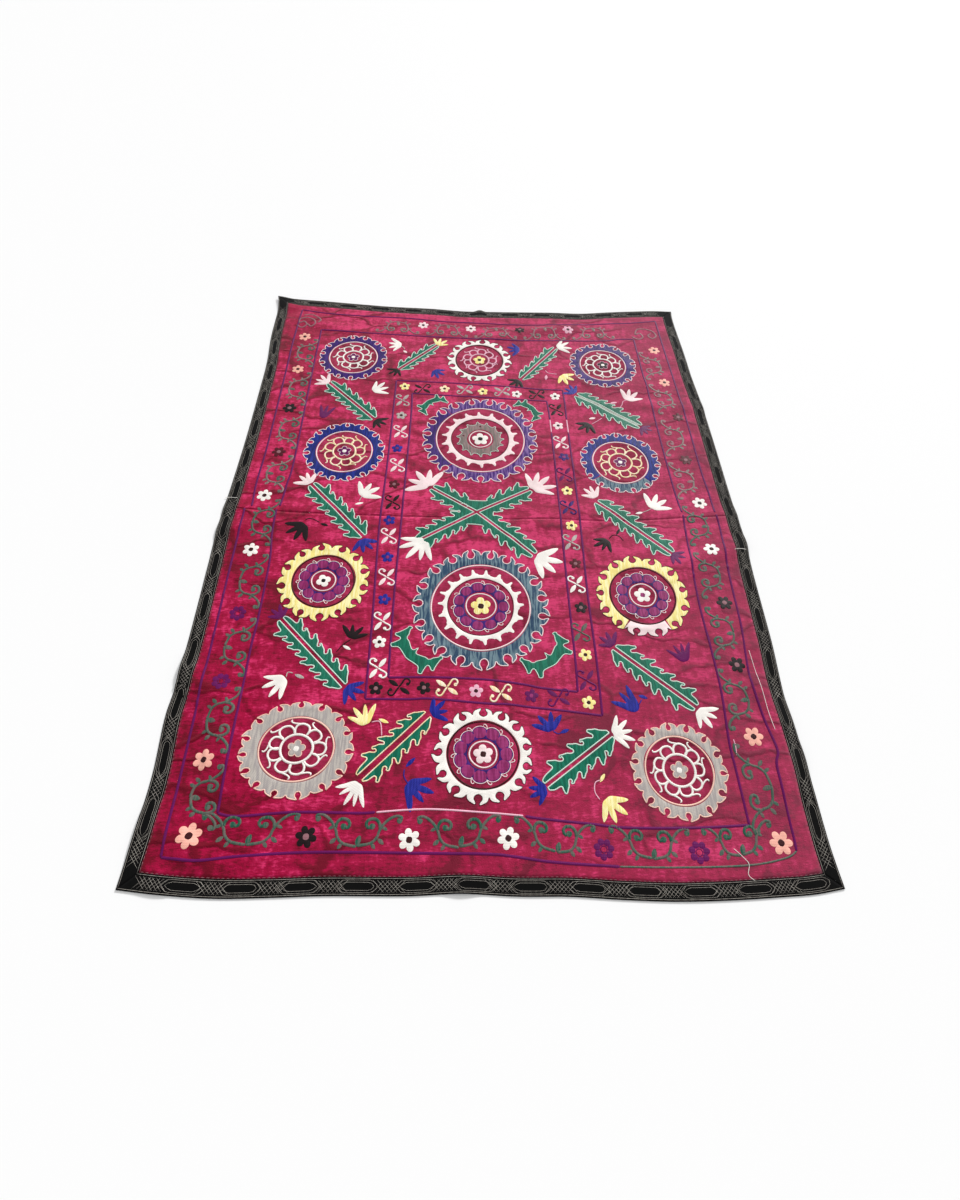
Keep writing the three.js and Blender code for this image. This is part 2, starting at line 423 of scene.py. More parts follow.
# Fine creases pressed into the pile, too small for the solids.
CREASES = tuple(Fold(row[:3], *row[3:]) for row in (
    ((-748, -905), (-722, -975), (-640, -1028), 15, 1.5),  # corner arc, outer
    ((-722, -892), (-700, -946), (-628, -1000), 13, 1.3),  # corner arc, middle
    ((-700, -868), (-676, -918), (-600, -976), 13, 1.2),  # corner arc, inner
    ((-660, -700), (-640, -760), (-600, -820), 16, 1.1),  # left border dent
    ((-240, -480), (-60, -470), (180, -486), 16, 1.1),  # above the near roundel
    ((-230, 150), (-10, 128), (210, 146), 15, 1.2),  # below the far roundel
    ((-160, 428), (20, 442), (220, 430), 15, 1.0),  # far roundel, upper
    ((-190, -300), (-20, -316), (170, -300), 14, 1.0),  # near roundel, middle
    ((-180, -404), (0, -392), (190, -408), 15, 1.1),  # near roundel, lower
    ((300, 700), (480, 712), (690, 694), 15, 1.2),  # upper right ripple
    ((340, 802), (520, 790), (700, 806), 15, 1.1),  # upper right ripple, far
    ((330, -60), (520, -52), (760, -66), 15, 1.1),  # right of the seam
    ((560, -150), (680, -108), (790, -70), 14, 1.2),  # beside the slant
    ((-240, -20), (-130, -28), (-30, -16), 13, 1.3),  # centre crossing
    ((-420, -1046), (-330, -1016), (-190, -1022), 14, 1.2),  # near end, left
    ((180, -1046), (330, -1030), (500, -1048), 14, 1.2),  # near end, right
    ((560, -1030), (650, -985), (720, -905), 15, 1.3),  # right corner arc
    ((-640, 760), (-540, 772), (-330, 764), 15, 0.9),  # far left ripple
    ((-300, 900), (-120, 908), (60, 896), 14, 1.1),  # far end ripple
    ((-796, -590), (-706, -672), (-662, -880), 12, 2.4, START),  # beside the sweep, outer
    ((-760, -500), (-640, -590), (-590, -800), 12, 2.0),  # beside the sweep, inner
    ((-770, -420), (-700, -470), (-640, -560), 12, 1.9),  # left border, slanting
    ((-770, -300), (-704, -330), (-640, -400), 12, 1.5),  # left border, upper slant
    ((-640, -1044), (-560, -1010), (-440, -1006), 11, 1.6),  # beside the left corner
    ((-600, -560), (-500, -640), (-300, -650), 12, 1.3),  # near left field
    ((-610, -180), (-470, -150), (-320, -190), 12, 1.3),  # left field
    ((752, -320), (700, -520), (690, -740), 12, 2.2),  # right edge sweep, outer
    ((676, -300), (610, -500), (580, -700), 12, 1.8),  # right edge sweep, inner
    ((800, -176), (690, -204), (540, -250), 12, 2.0),  # below the slant
    ((330, -380), (480, -410), (620, -396), 12, 1.3),  # right field
    ((240, -760), (380, -700), (600, -730), 12, 1.3),  # near right field
    ((-240, -700), (-80, -680), (120, -716), 12, 1.2),  # near middle field
    ((-560, 620), (-330, 640), (-180, 628), 12, 1.2),  # far field, across
    ((180, 700), (330, 738), (560, 724), 12, 1.3),  # far field, right
    ((-230, 210), (-60, 196), (150, 214), 11, 1.1),  # centre field, upper
    ((-220, -200), (-20, -190), (200, -206), 11, 1.2),  # centre field, lower
))  # fmt: skip

# Where the long edges lie, left and right of the middle, by their distance along the cloth.
SIDE_EDGES = {
    "y": (-1070, -975, -825, -675, -600, -450, -225, -75, 75, 300, 525, 675, 825, 975, 1040, 1075),
    "left": (
        *(-808, -802, -796, -803, -798, -797, -799, -801),
        *(-794, -787, -785, -785, -795, -796, -801, -808),
    ),
    "right": (810, 804, 804, 800, 797, 805, 809, 814, 808, 805, 800, 791, 787, 780, 780, 783),
}

# Where the short edges lie, near and far, by their distance across the cloth.
END_EDGES = {
    "x": (-808, -720, -600, -480, -360, -180, -60, 60, 180, 300, 420, 540, 660, 735, 806),
    "near": (
        *(-1065, -1075, -1083, -1082, -1079, -1080, -1076),
        *(-1082, -1083, -1090, -1094, -1092, -1086, -1081, -1070),
    ),
    "far": (1080, 1071, 1062, 1052, 1043, 1037, 1028, 1030, 1034, 1038, 1038, 1053, 1066, 1072, 1072),
}


class ClothForm:
    """The shape of the cloth as it lies: its uneven outline, its folds and its fine creases."""

    # The cut cloth. The seam's places are at its left and its right end.
    CUT_WIDTH = 1610.0
    CUT_LENGTH = 2143.0
    VELVET_THICKNESS = 2.0
    EDGING_THICKNESS = 2.4
    EDGING_WIDTH = 39.0
    PIECE_GAP = 0.3
    SEAM_Y = (0.0, 12.0)

    # The lapped join of the far edging, and where stitches rise over it as it lies.
    LAP_ACROSS = 815.0
    LAP_HALF_WIDTH = 28.0
    LAP_OUTWARD = 10.0
    LAP_THICKNESS = 1.6
    LAP_X, LAP_START_Y = -3.0, 990.0

    # Ripples: how long their noises are across and along the cloth, and how high they rise.
    WANDER, WANDER_LENGTHS = 24.0, (210.0, 260.0)
    FINE, FINE_LENGTHS = 0.8, (190.0, 27.0)
    BROAD, BROAD_LENGTHS = 1.0, (240.0, 62.0)

    # Where they are strongest: middle, width over length, reach and share, over a least share.
    RIPPLED = (((0.0, 60.0), 1.1, 620.0, 0.65), ((520.0, 700.0), 1.0, 520.0, 0.5))
    LEAST_RIPPLED = 0.35

    # The grid of heights, what keeps places off its last line, and the room round a fold's window.
    GRID_STEP = 4.0
    GRID_LEFT = -840.0
    GRID_NEAR = -1124.0
    GRID_COLUMNS = 421
    GRID_ROWS = 561
    OFF_LAST_LINE = 1.001
    FOLD_MARGIN = 40.0

    def __init__(self) -> None:
        """Work out the cloth's height on a fine grid."""
        self.sides = {name: np.array(row, dtype=float) for name, row in SIDE_EDGES.items()}
        self.ends = {name: np.array(row, dtype=float) for name, row in END_EDGES.items()}
        x = self.GRID_LEFT + self.GRID_STEP * np.arange(self.GRID_COLUMNS)
        y = self.GRID_NEAR + self.GRID_STEP * np.arange(self.GRID_ROWS)
        self.grid_x, self.grid_y = np.meshgrid(x, y)
        self.heights = self._ripples()
        for fold in FOLDS + CREASES:
            self._add_fold(fold)

    def _ripples(self) -> Points:
        """Low uneven ripples left in the pile by folding, longer across the cloth than along it."""
        x, y = self.grid_x, self.grid_y
        wander = self.WANDER * ValueNoise(11).at(x / self.WANDER_LENGTHS[0], y / self.WANDER_LENGTHS[1])
        fine = ValueNoise(12).at(x / self.FINE_LENGTHS[0], (y + wander) / self.FINE_LENGTHS[1])
        broad = ValueNoise(13).at((x + 2 * wander) / self.BROAD_LENGTHS[0], y / self.BROAD_LENGTHS[1])
        strength = self.LEAST_RIPPLED
        for middle, stretch, reach, share in self.RIPPLED:
            away = np.hypot((x - middle[0]) / stretch, y - middle[1])
            strength = strength + share * bell(away, reach)
        return np.maximum(fine, 0) * self.FINE * strength + np.maximum(broad, 0) * self.BROAD * strength

    def _add_fold(self, fold: Fold) -> None:
        """Raise the grid over one fold."""
        crest = np.array(fold.crest)
        low = crest.min(axis=0) - fold.reach - self.FOLD_MARGIN
        high = crest.max(axis=0) + fold.reach + self.FOLD_MARGIN
        columns = (self.grid_x[0] >= low[0]) & (self.grid_x[0] <= high[0])
        rows = (self.grid_y[:, 0] >= low[1]) & (self.grid_y[:, 0] <= high[1])
        window = np.ix_(rows, columns)
        points = np.column_stack([self.grid_x[window].ravel(), self.grid_y[window].ravel()])
        self.heights[window] += fold.lift_at(points).reshape(rows.sum(), columns.sum())

    def underside(self, points: Points) -> Points:
        """Height of the cloth's underside above the floor at points."""
        last = np.array([self.GRID_COLUMNS, self.GRID_ROWS]) - self.OFF_LAST_LINE
        column = np.clip((points[:, 0] - self.GRID_LEFT) / self.GRID_STEP, 0, last[0])
        row = np.clip((points[:, 1] - self.GRID_NEAR) / self.GRID_STEP, 0, last[1])
        i, j = row.astype(int), column.astype(int)
        v, u = row - i, column - j
        low = self.heights[i, j] * (1 - u) + self.heights[i, j + 1] * u
        high = self.heights[i + 1, j] * (1 - u) + self.heights[i + 1, j + 1] * u
        return low * (1 - v) + high * v

    def velvet_top(self, points: Points) -> Points:
        """Height of the velvet's face at points."""
        return self.underside(points) + self.VELVET_THICKNESS

    def edging_top(self, points: Points) -> Points:
        """Height of the edging's face at points."""
        into_strip = np.clip((points[:, 1] - self.LAP_START_Y) / self.EDGING_WIDTH, 0, 1)
        near_join = bell(points[:, 0] - self.LAP_X, self.LAP_HALF_WIDTH) * np.sqrt(into_strip)
        return self.underside(points) + self.EDGING_THICKNESS + self.LAP_THICKNESS * near_join

    def lap_at(self, across: Points) -> Points:
        """How far the lapped join of the far edging stands out, 0 away from it and 1 at it."""
        return bell(across - self.LAP_ACROSS, self.LAP_HALF_WIDTH)

    def into_far_strip(self, along: Points) -> Points:
        """How far into the far edging strip a distance along the cut cloth is, 0 to 1."""
        return np.clip((along - (self.CUT_LENGTH - self.EDGING_WIDTH)) / self.EDGING_WIDTH, 0, 1)

    def spread(self, across: Points, along: Points) -> Points:
        """Where points of the cut cloth lie, from distances from its near left corner."""
        across, along = np.broadcast_arrays(np.asarray(across, float), np.asarray(along, float))
        u, v = across / self.CUT_WIDTH, along / self.CUT_LENGTH
        y = mix(self.sides["y"][0], self.sides["y"][-1], v)
        x = mix(self.ends["x"][0], self.ends["x"][-1], u)
        left, right = (along_table(self.sides["y"], self.sides[side], y) for side in ("left", "right"))
        near, far = (along_table(self.ends["x"], self.ends[end], x) for end in ("near", "far"))
        outward = self.LAP_OUTWARD * self.lap_at(across) * self.into_far_strip(along)
        return np.stack([mix(left, right, u), mix(near, far, v) + outward], axis=-1)

    def seam_along(self, across: Points) -> Points:
        """Distance along the cut cloth to the seam between the panels."""
        near, far = self.ends["near"][0], self.ends["far"][0]
        y = mix(*self.SEAM_Y, np.asarray(across, float) / self.CUT_WIDTH)
        return self.CUT_LENGTH * (y - near) / (far - near)

    def edging_thickness(self, across: Points, along: Points) -> Points:
        """Thickness of the edging, more at its lapped join."""
        into = np.sqrt(self.into_far_strip(np.asarray(along, float)))
        return self.EDGING_THICKNESS + self.LAP_THICKNESS * self.lap_at(np.asarray(across, float)) * into


# ------------------------ finishes


def linear(colour: Sequence[int]) -> tuple[float, float, float, float]:
    """A colour in 0 to 255 as the shader's linear one."""
    shares = [value / 255 for value in colour]
    return (*(s / 12.92 if s <= 0.04045 else ((s + 0.055) / 1.055) ** 2.4 for s in shares), 1.0)


class Shader:
    """A material's nodes, added one after another."""

    NOISE_ROUGHNESS = 0.55
    SHEEN_ROUGHNESS = 0.45
    SPECULAR = 0.15

    def __init__(self, name: str) -> None:
        """Start an empty material."""
        self.material = bpy.data.materials.new(name)
        self.material.use_nodes = True
        self.tree = self.material.node_tree
        self.tree.nodes.clear()

    def add(self, kind: str, inputs: dict | None = None, **settings: object) -> bpy.types.Node:
        """Add a node.

        Args:
            kind: The node's type, without its ShaderNode prefix.
            inputs: Values or sockets for its inputs, by name or place.
            settings: Its own properties.

        Returns:
            The node.
        """
        node = self.tree.nodes.new("ShaderNode" + kind)
        for key, value in settings.items():
            setattr(node, key, value)
        for key, value in (inputs or {}).items():
            if isinstance(value, Socket):
                self.tree.links.new(value, node.inputs[key])
            else:
                node.inputs[key].default_value = value
        return node

    def sum(self, operation: str, *values: object) -> Socket:
        """One step of arithmetic on sockets or numbers."""
        return self.add("Math", dict(enumerate(values)), operation=operation).outputs[0]

    def product(self, *values: object) -> Socket:
        """The product of two sockets or numbers."""
        return self.sum("MULTIPLY", *values)

    def scaled(self, *values: object) -> Socket:
        """The product of the first two sockets or numbers, with the third added to it."""
        return self.sum("MULTIPLY_ADD", *values)

    def noise(self, place: object, scale: float, detail: float = 2.0) -> Socket:
        """Soft noise over a place."""
        inputs = {"Vector": place, "Scale": scale, "Detail": detail, "Roughness": self.NOISE_ROUGHNESS}
        return self.add("TexNoise", inputs).outputs[0]

    def stretched(self, place: object, scale: tuple[float, float, float]) -> Socket:
        """A place scaled along each axis."""
        return self.add("Mapping", {"Vector": place, "Scale": scale}).outputs[0]

    def blend(self, share: object, start: object, end: object) -> Socket:
        """A colour part of the way from start to end."""
        node = self.add("Mix", {0: share, 6: start, 7: end}, data_type="RGBA")
        return node.outputs[2]

    def between(self, value: object, low: float, high: float) -> Socket:
        """A value eased from 0 at low to 1 at high."""
        inputs = {"Value": value, "From Min": low, "From Max": high}
        return self.add("MapRange", inputs, interpolation_type="SMOOTHSTEP").outputs[0]

    def cloth(self, colour: object, rough: float, sheen: float, bump: object, depth: float) -> None:
        """Finish the material as cloth.

        Args:
            colour: The base colour, as a socket or a colour.
            rough: Its roughness.
            sheen: The weight of its sheen.
            bump: The height of its fine relief, 0 to 1.
            depth: How deep that relief is, in metres.
        """
        relief = self.add("Bump", {"Height": bump, "Strength": 1.0, "Distance": depth})
        inputs = {"Base Color": colour, "Normal": relief.outputs[0], "Roughness": rough}
        inputs |= {"Sheen Weight": sheen, "Sheen Roughness": self.SHEEN_ROUGHNESS}
        self.surface(inputs | {"Specular IOR Level": self.SPECULAR})

    def surface(self, inputs: dict) -> None:
        """End the material in a surface with the given inputs."""
        surface = self.add("BsdfPrincipled", inputs)
        self.add("OutputMaterial", {"Surface": surface.outputs[0]})


@dataclass(frozen=True)
class ThreadFinish:
    """Embroidery thread in chain stitch."""

    colour: tuple[int, int, int]
    slot: str
    second: tuple[int, int, int] | None = None
    rough: float = 0.52
    sheen: float = 0.04
    depth: float = 0.0006
    link: float = 5.0
    row: float = 3.4

    # How far the links slant, how steep the grooves between rows are, how the relief is shared out,
    # and how dark the painted shade in the hollows is.
    SLANT, GROOVE_POWER = 0.6, 3.0
    LINK_SHARE, ROW_SHARE = 0.45, 0.55
    SHADE_RANGE, DARKEST = 0.14, 0.90

    # The dye's unevenness, and the streaks of a second colour along and across the cloth.
    PATCH_SCALE, PATCH_RANGE, PATCH_SHADE = 26.0, (0.36, 0.66), 0.88
    STREAK_SCALE, STREAK_DETAIL, STREAK_RANGE = (170.0, 17.0, 1.0), 3.0, (0.44, 0.58)

    def material(self, name: str) -> bpy.types.Material:
        """Make the thread's material. Rows of links run along the piece's own stitch map,
        and their hollows get painted shade.
        """
        shader = Shader(name)
        place = shader.add("TexCoord").outputs["Object"]
        colour = self._colour(shader, place)
        stitch = shader.add("SeparateXYZ", {0: shader.add("UVMap", uv_map="stitch").outputs[0]})
        row = shader.sum("FRACT", shader.sum("DIVIDE", stitch.outputs[0], self.row))
        slant = shader.sum("ABSOLUTE", shader.scaled(row, 2.0, -1.0))
        length = shader.sum("DIVIDE", stitch.outputs[1], self.link)
        lean = shader.scaled(slant, self.SLANT, length)
        links = shader.sum("ABSOLUTE", shader.sum("SINE", shader.product(lean, math.pi)))
        groove = shader.sum("SUBTRACT", 1.0, shader.sum("POWER", slant, self.GROOVE_POWER))
        rows = shader.product(groove, self.ROW_SHARE)
        relief = shader.scaled(links, self.LINK_SHARE, rows)
        # Painted shade: the colour is darkened where the relief is low, in the hollows between links and rows.
        shade = shader.scaled(relief, self.SHADE_RANGE, self.DARKEST)
        shaded = shader.add("HueSaturation", {"Value": shade, "Color": colour}).outputs[0]
        shader.cloth(shaded, self.rough, self.sheen, relief, self.depth)
        return shader.material

    def _colour(self, shader: Shader, place: object) -> Socket:
        """The thread's colour, uneven in its dye and streaked where it has a second colour."""
        base = linear(self.colour)
        patchy = shader.between(shader.noise(place, self.PATCH_SCALE), *self.PATCH_RANGE)
        darker = tuple(self.PATCH_SHADE * value for value in base[:3]) + (1.0,)
        colour = shader.blend(patchy, darker, base)
        if self.second is None:
            return colour
        stretched = shader.stretched(place, self.STREAK_SCALE)
        streaks = shader.between(shader.noise(stretched, 1.0, self.STREAK_DETAIL), *self.STREAK_RANGE)
        return shader.blend(streaks, colour, linear(self.second))


class Thread(Enum):
    """The embroidery threads."""

    WHITE = ThreadFinish((255, 250, 243), "thread_white")
    PINK_WHITE = ThreadFinish((255, 232, 232), "thread_white")
    CREAM = ThreadFinish((255, 228, 176), "thread_white", (255, 240, 212))
    YELLOW = ThreadFinish((252, 234, 140), "thread_yellow", (255, 246, 186))
    MINT = ThreadFinish((214, 236, 222), "thread_green")
    GREEN = ThreadFinish((6, 98, 76), "thread_green", (18, 118, 92))
    VINE = ThreadFinish((106, 100, 94), "thread_grey", (66, 96, 82))
    MOSS = ThreadFinish((30, 92, 72), "thread_green", (88, 98, 88))
    ROSE_GREY = ThreadFinish((150, 104, 112), "thread_grey")
    ASH = ThreadFinish((120, 112, 106), "thread_grey", (150, 122, 122))
    GREY = ThreadFinish((196, 188, 180), "thread_grey", (168, 160, 158))
    PEACH = ThreadFinish((255, 208, 190), "thread_pink")
    SALMON = ThreadFinish((255, 186, 168), "thread_pink")
    PINK = ThreadFinish((244, 186, 206), "thread_pink")
    MAGENTA = ThreadFinish((134, 30, 92), "thread_pink", (156, 50, 112))
    VIOLET = ThreadFinish((44, 14, 92), "thread_violet", (66, 26, 118))
    LILAC = ThreadFinish((66, 24, 112), "thread_violet", (128, 96, 158))
    PURPLE = ThreadFinish((102, 4, 88), "thread_violet")
    NAVY = ThreadFinish((14, 26, 104), "thread_blue", (28, 46, 140))
    TEAL = ThreadFinish((40, 70, 98), "thread_blue", (110, 134, 144))
    BLUE = ThreadFinish((20, 28, 132), "thread_blue", (38, 44, 154))
    BLACK = ThreadFinish((24, 10, 14), "thread_black")
    BROWN = ThreadFinish((58, 14, 18), "thread_black")
    MAROON = ThreadFinish((84, 8, 28), "thread_black")
    MACHINE = ThreadFinish((186, 180, 170), "edging_stitches", (148, 141, 134))


@dataclass(frozen=True)
class VelvetFinish:
    """Crimson velvet with a crushed pile."""

    deep: tuple[int, int, int] = (112, 0, 30)
    mid: tuple[int, int, int] = (160, 0, 56)
    light: tuple[int, int, int] = (222, 50, 108)
    # A dusty pink, painted sheen towards the right and the far end.
    dusty: tuple[int, int, int] = (162, 84, 112)
    wine: tuple[int, int, int] = (112, 12, 40)
    worn: tuple[int, int, int] = (160, 44, 78)
    rough: float = 0.92
    sheen: float = 0.12
    depth: float = 0.0016

    # Where the tone starts, and what creases and the distance to the side and from END take from it.
    # The creases darken it as painted shade, it is darker towards both sides, and the distance from END
    # is a painted sheen that leaves the far part lighter and darkens the near end.
    TONE, CREASED, TOWARDS_SIDE, TOWARDS_END, END = 0.5, -0.95, -0.62, -0.2, 0.45

    # The scale and detail of each noise, and how it is stretched across or down the cloth.
    BROAD_NOISE, CRUSHED_NOISE, STROKE_NOISE = (2.6, 3.0), (9.0, 5.0), (26.0, 5.0)
    FINE_NOISE, PILE_NOISE = (70.0, 4.0), (420.0, 2.0)
    ACROSS, DOWN = (1.0, 3.0, 1.0), (2.2, 0.9, 1.0)

    # How strongly each noise moves the tone, and the tones at which one colour gives way to the next.
    BROAD, CRUSHED, STROKES, FINE = 2.0, 2.8, 2.1, 2.1
    DARK_TO_MID, MID_TO_LIGHT = (-0.85, 0.05), (0.05, 0.95)

    # How the painted sheen grows across and along the cloth, and how much the pressed pile shows.
    DUST, DUST_ACROSS, DUST_ALONG = 0.2, 0.26, 0.07
    PRESSED, WINE_TO_WORN = 0.75, (-1.0, 1.0)

    # Creases: the noise that bends them and by how much, the size of their cells, the width of a
    # line, and the noise that thins them out.
    WANDER, BEND, CELLS, LINE_WIDTH = (7.0, 3.0), (0.16, 0.1, 0.0), (4.2, 8.6, 1.0), 0.075
    THINNING, THINNING_RANGE = (3.4, 2.0), (0.36, 0.56)

    # The relief's shares beside the pile's own.
    STROKE_RELIEF, CRUSHED_RELIEF, CREASE_RELIEF = 1.2, 1.6, 1.3

    def material(self) -> bpy.types.Material:
        """Make the velvet's material. The pressed attribute marks where the pile is flattened."""
        shader = Shader("crushed velvet")
        place = shader.add("TexCoord").outputs["Object"]
        x, y, _ = shader.add("SeparateXYZ", {0: place}).outputs
        across, down = shader.stretched(place, self.ACROSS), shader.stretched(place, self.DOWN)
        crushed = shader.noise(across, *self.CRUSHED_NOISE)
        strokes = shader.noise(down, *self.STROKE_NOISE)
        fine = shader.noise(across, *self.FINE_NOISE)
        creases = self._creases(shader, place)
        side, end = shader.sum("POWER", x, 2.0), shader.sum("ADD", y, -self.END)
        # Painted shade along the creases, darker towards the sides, painted sheen lighter towards the far part.
        tone = shader.scaled(creases, self.CREASED, self.TONE)
        tone = shader.scaled(side, self.TOWARDS_SIDE, tone)
        tone = shader.scaled(shader.product(end, end), self.TOWARDS_END, tone)
        broad = shader.noise(place, *self.BROAD_NOISE)
        noises = ((broad, self.BROAD), (crushed, self.CRUSHED), (strokes, self.STROKES), (fine, self.FINE))
        for marks, strength in noises:
            tone = shader.sum("ADD", tone, shader.scaled(marks, strength, -0.5 * strength))
        deep, mid, light = linear(self.deep), linear(self.mid), linear(self.light)
        colour = shader.blend(shader.between(tone, *self.DARK_TO_MID), deep, mid)
        colour = shader.blend(shader.between(tone, *self.MID_TO_LIGHT), colour, light)
        # Painted sheen: the colour turns dusty pink towards the right and a little towards the far end.
        dust = shader.scaled(x, self.DUST_ACROSS, shader.product(y, self.DUST_ALONG))
        colour = shader.blend(shader.sum("ADD", dust, self.DUST), colour, linear(self.dusty))
        pressed = shader.add("Attribute", attribute_name="pressed").outputs["Fac"]
        flattened = shader.between(tone, *self.WINE_TO_WORN)
        wine = shader.blend(flattened, linear(self.wine), linear(self.worn))
        colour = shader.blend(shader.product(pressed, self.PRESSED), colour, wine)
        pile = shader.noise(place, *self.PILE_NOISE)
        relief = shader.scaled(crushed, self.CRUSHED_RELIEF, pile)
        relief = shader.scaled(strokes, self.STROKE_RELIEF, relief)
        relief = shader.scaled(creases, self.CREASE_RELIEF, relief)
        shader.cloth(colour, self.rough, self.sheen, relief, self.depth)
        return shader.material

    def _creases(self, shader: Shader, place: object) -> Socket:
        """Thin creases that wander over the cloth, 1 on a crease and 0 away from it."""
        scale, detail = self.WANDER
        wander = shader.add("TexNoise", {"Vector": place, "Scale": scale, "Detail": detail})
        bend = {0: wander.outputs["Color"], 1: self.BEND, 2: place}
        bent = shader.add("VectorMath", bend, operation="MULTIPLY_ADD").outputs[0]
        cell = {"Vector": shader.stretched(bent, self.CELLS), "Scale": 1.0}
        edges = shader.add("TexVoronoi", cell, feature="DISTANCE_TO_EDGE").outputs[0]
        line = shader.between(edges, self.LINE_WIDTH, 0.0)
        thinning = shader.between(shader.noise(place, *self.THINNING), *self.THINNING_RANGE)
        return shader.product(line, thinning)


@dataclass(frozen=True)
class EdgingFinish:
    """Close-woven black cotton."""

    colour: tuple[int, int, int] = (3, 3, 3)
    # The grey that it turns in patches and towards the far end.
    worn: tuple[int, int, int] = (15, 14, 15)
    rough: float = 0.9
    depth: float = 0.0003

    # The noise that greys it in patches and how strongly it does, between which places it turns
    # greyer along the cloth towards the far end, and the scale of its weave.
    FADING, FADE, UNFADED = (9.0, 4.0), 0.9, -0.42
    FADED_ALONG, WEAVE = (-0.2, 1.2), 900.0

    def material(self) -> bpy.types.Material:
        """Make the edging's material, greyer in uneven patches and towards the far end."""
        shader = Shader("black cotton")
        place = shader.add("TexCoord").outputs["Object"]
        along = shader.add("SeparateXYZ", {0: place}).outputs[1]
        faded = shader.scaled(shader.noise(place, *self.FADING), self.FADE, self.UNFADED)
        faded = shader.sum("ADD", faded, shader.between(along, *self.FADED_ALONG))
        colour = shader.blend(faded, linear(self.colour), linear(self.worn))
        weave = shader.add("TexVoronoi", {"Vector": place, "Scale": self.WEAVE}).outputs[0]
        shader.cloth(colour, self.rough, 0.0, weave, self.depth)
        return shader.material


# ------------------------ cloth and stitches as meshes


@dataclass
class MeshParts:
    """Points and faces gathered for one mesh, with a stitch place for each corner of a face."""

    points: list[Points] = field(default_factory=list)
    faces: dict[int, list[Points]] = field(default_factory=lambda: {3: [], 4: []})
    stitches: dict[int, list[Points]] = field(default_factory=lambda: {3: [], 4: []})
    count: int = 0

    def add(self, points: Points, faces: Points, stitch: Points) -> None:
        """Add faces of one kind over new points.

        Args:
            points: Their places in millimetres.
            faces: Rows of three or four of those points.
            stitch: Where in the stitching each point, or each corner of each face, lies.
        """
        corners = faces.shape[1]
        self.faces[corners].append(faces + self.count)
        self.stitches[corners].append(stitch[faces] if stitch.ndim == 2 else stitch)
        self.points.append(points)
        self.count += len(points)

    def mesh(self, name: str) -> bpy.types.Mesh:
        """The gathered parts as one mesh, in metres and in the part's frame."""
        points = np.vstack(self.points)
        points[:, :2] -= OUTLINE_MIDDLE
        mesh = bpy.data.meshes.new(name)
        mesh.vertices.add(len(points))
        mesh.vertices.foreach_set("co", (points * MILLIMETRE).ravel())
        groups = [np.vstack(self.faces[corners]) for corners in (3, 4) if self.faces[corners]]
        loops = np.concatenate([group.ravel() for group in groups]).astype(np.int32)
        sizes = np.concatenate([np.full(len(group), group.shape[1]) for group in groups])
        mesh.loops.add(len(loops))
        mesh.loops.foreach_set("vertex_index", loops)
        mesh.polygons.add(len(sizes))
        mesh.polygons.foreach_set("loop_start", np.concatenate([[0], np.cumsum(sizes)[:-1]]))
        mesh.update(calc_edges=True)
        layer = mesh.uv_layers.new(name="stitch")
        places = [np.vstack(self.stitches[n]).reshape(-1, 2) for n in (3, 4) if self.faces[n]]
        layer.data.foreach_set("uv", np.vstack(places).ravel())
        mesh.shade_smooth()
        return mesh


def show(name: str, mesh: bpy.types.Mesh, material: bpy.types.Material, slot: str) -> Piece:
    """Put a mesh in the scene as a piece of the part."""
    piece = bpy.data.objects.new(name, mesh)
    bpy.context.scene.collection.objects.link(piece)
    mesh.materials.append(material)
    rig.ride(piece, "root")
    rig.slot(piece, slot)
    log.info("%s: %d faces", name, len(mesh.polygons))
    return piece


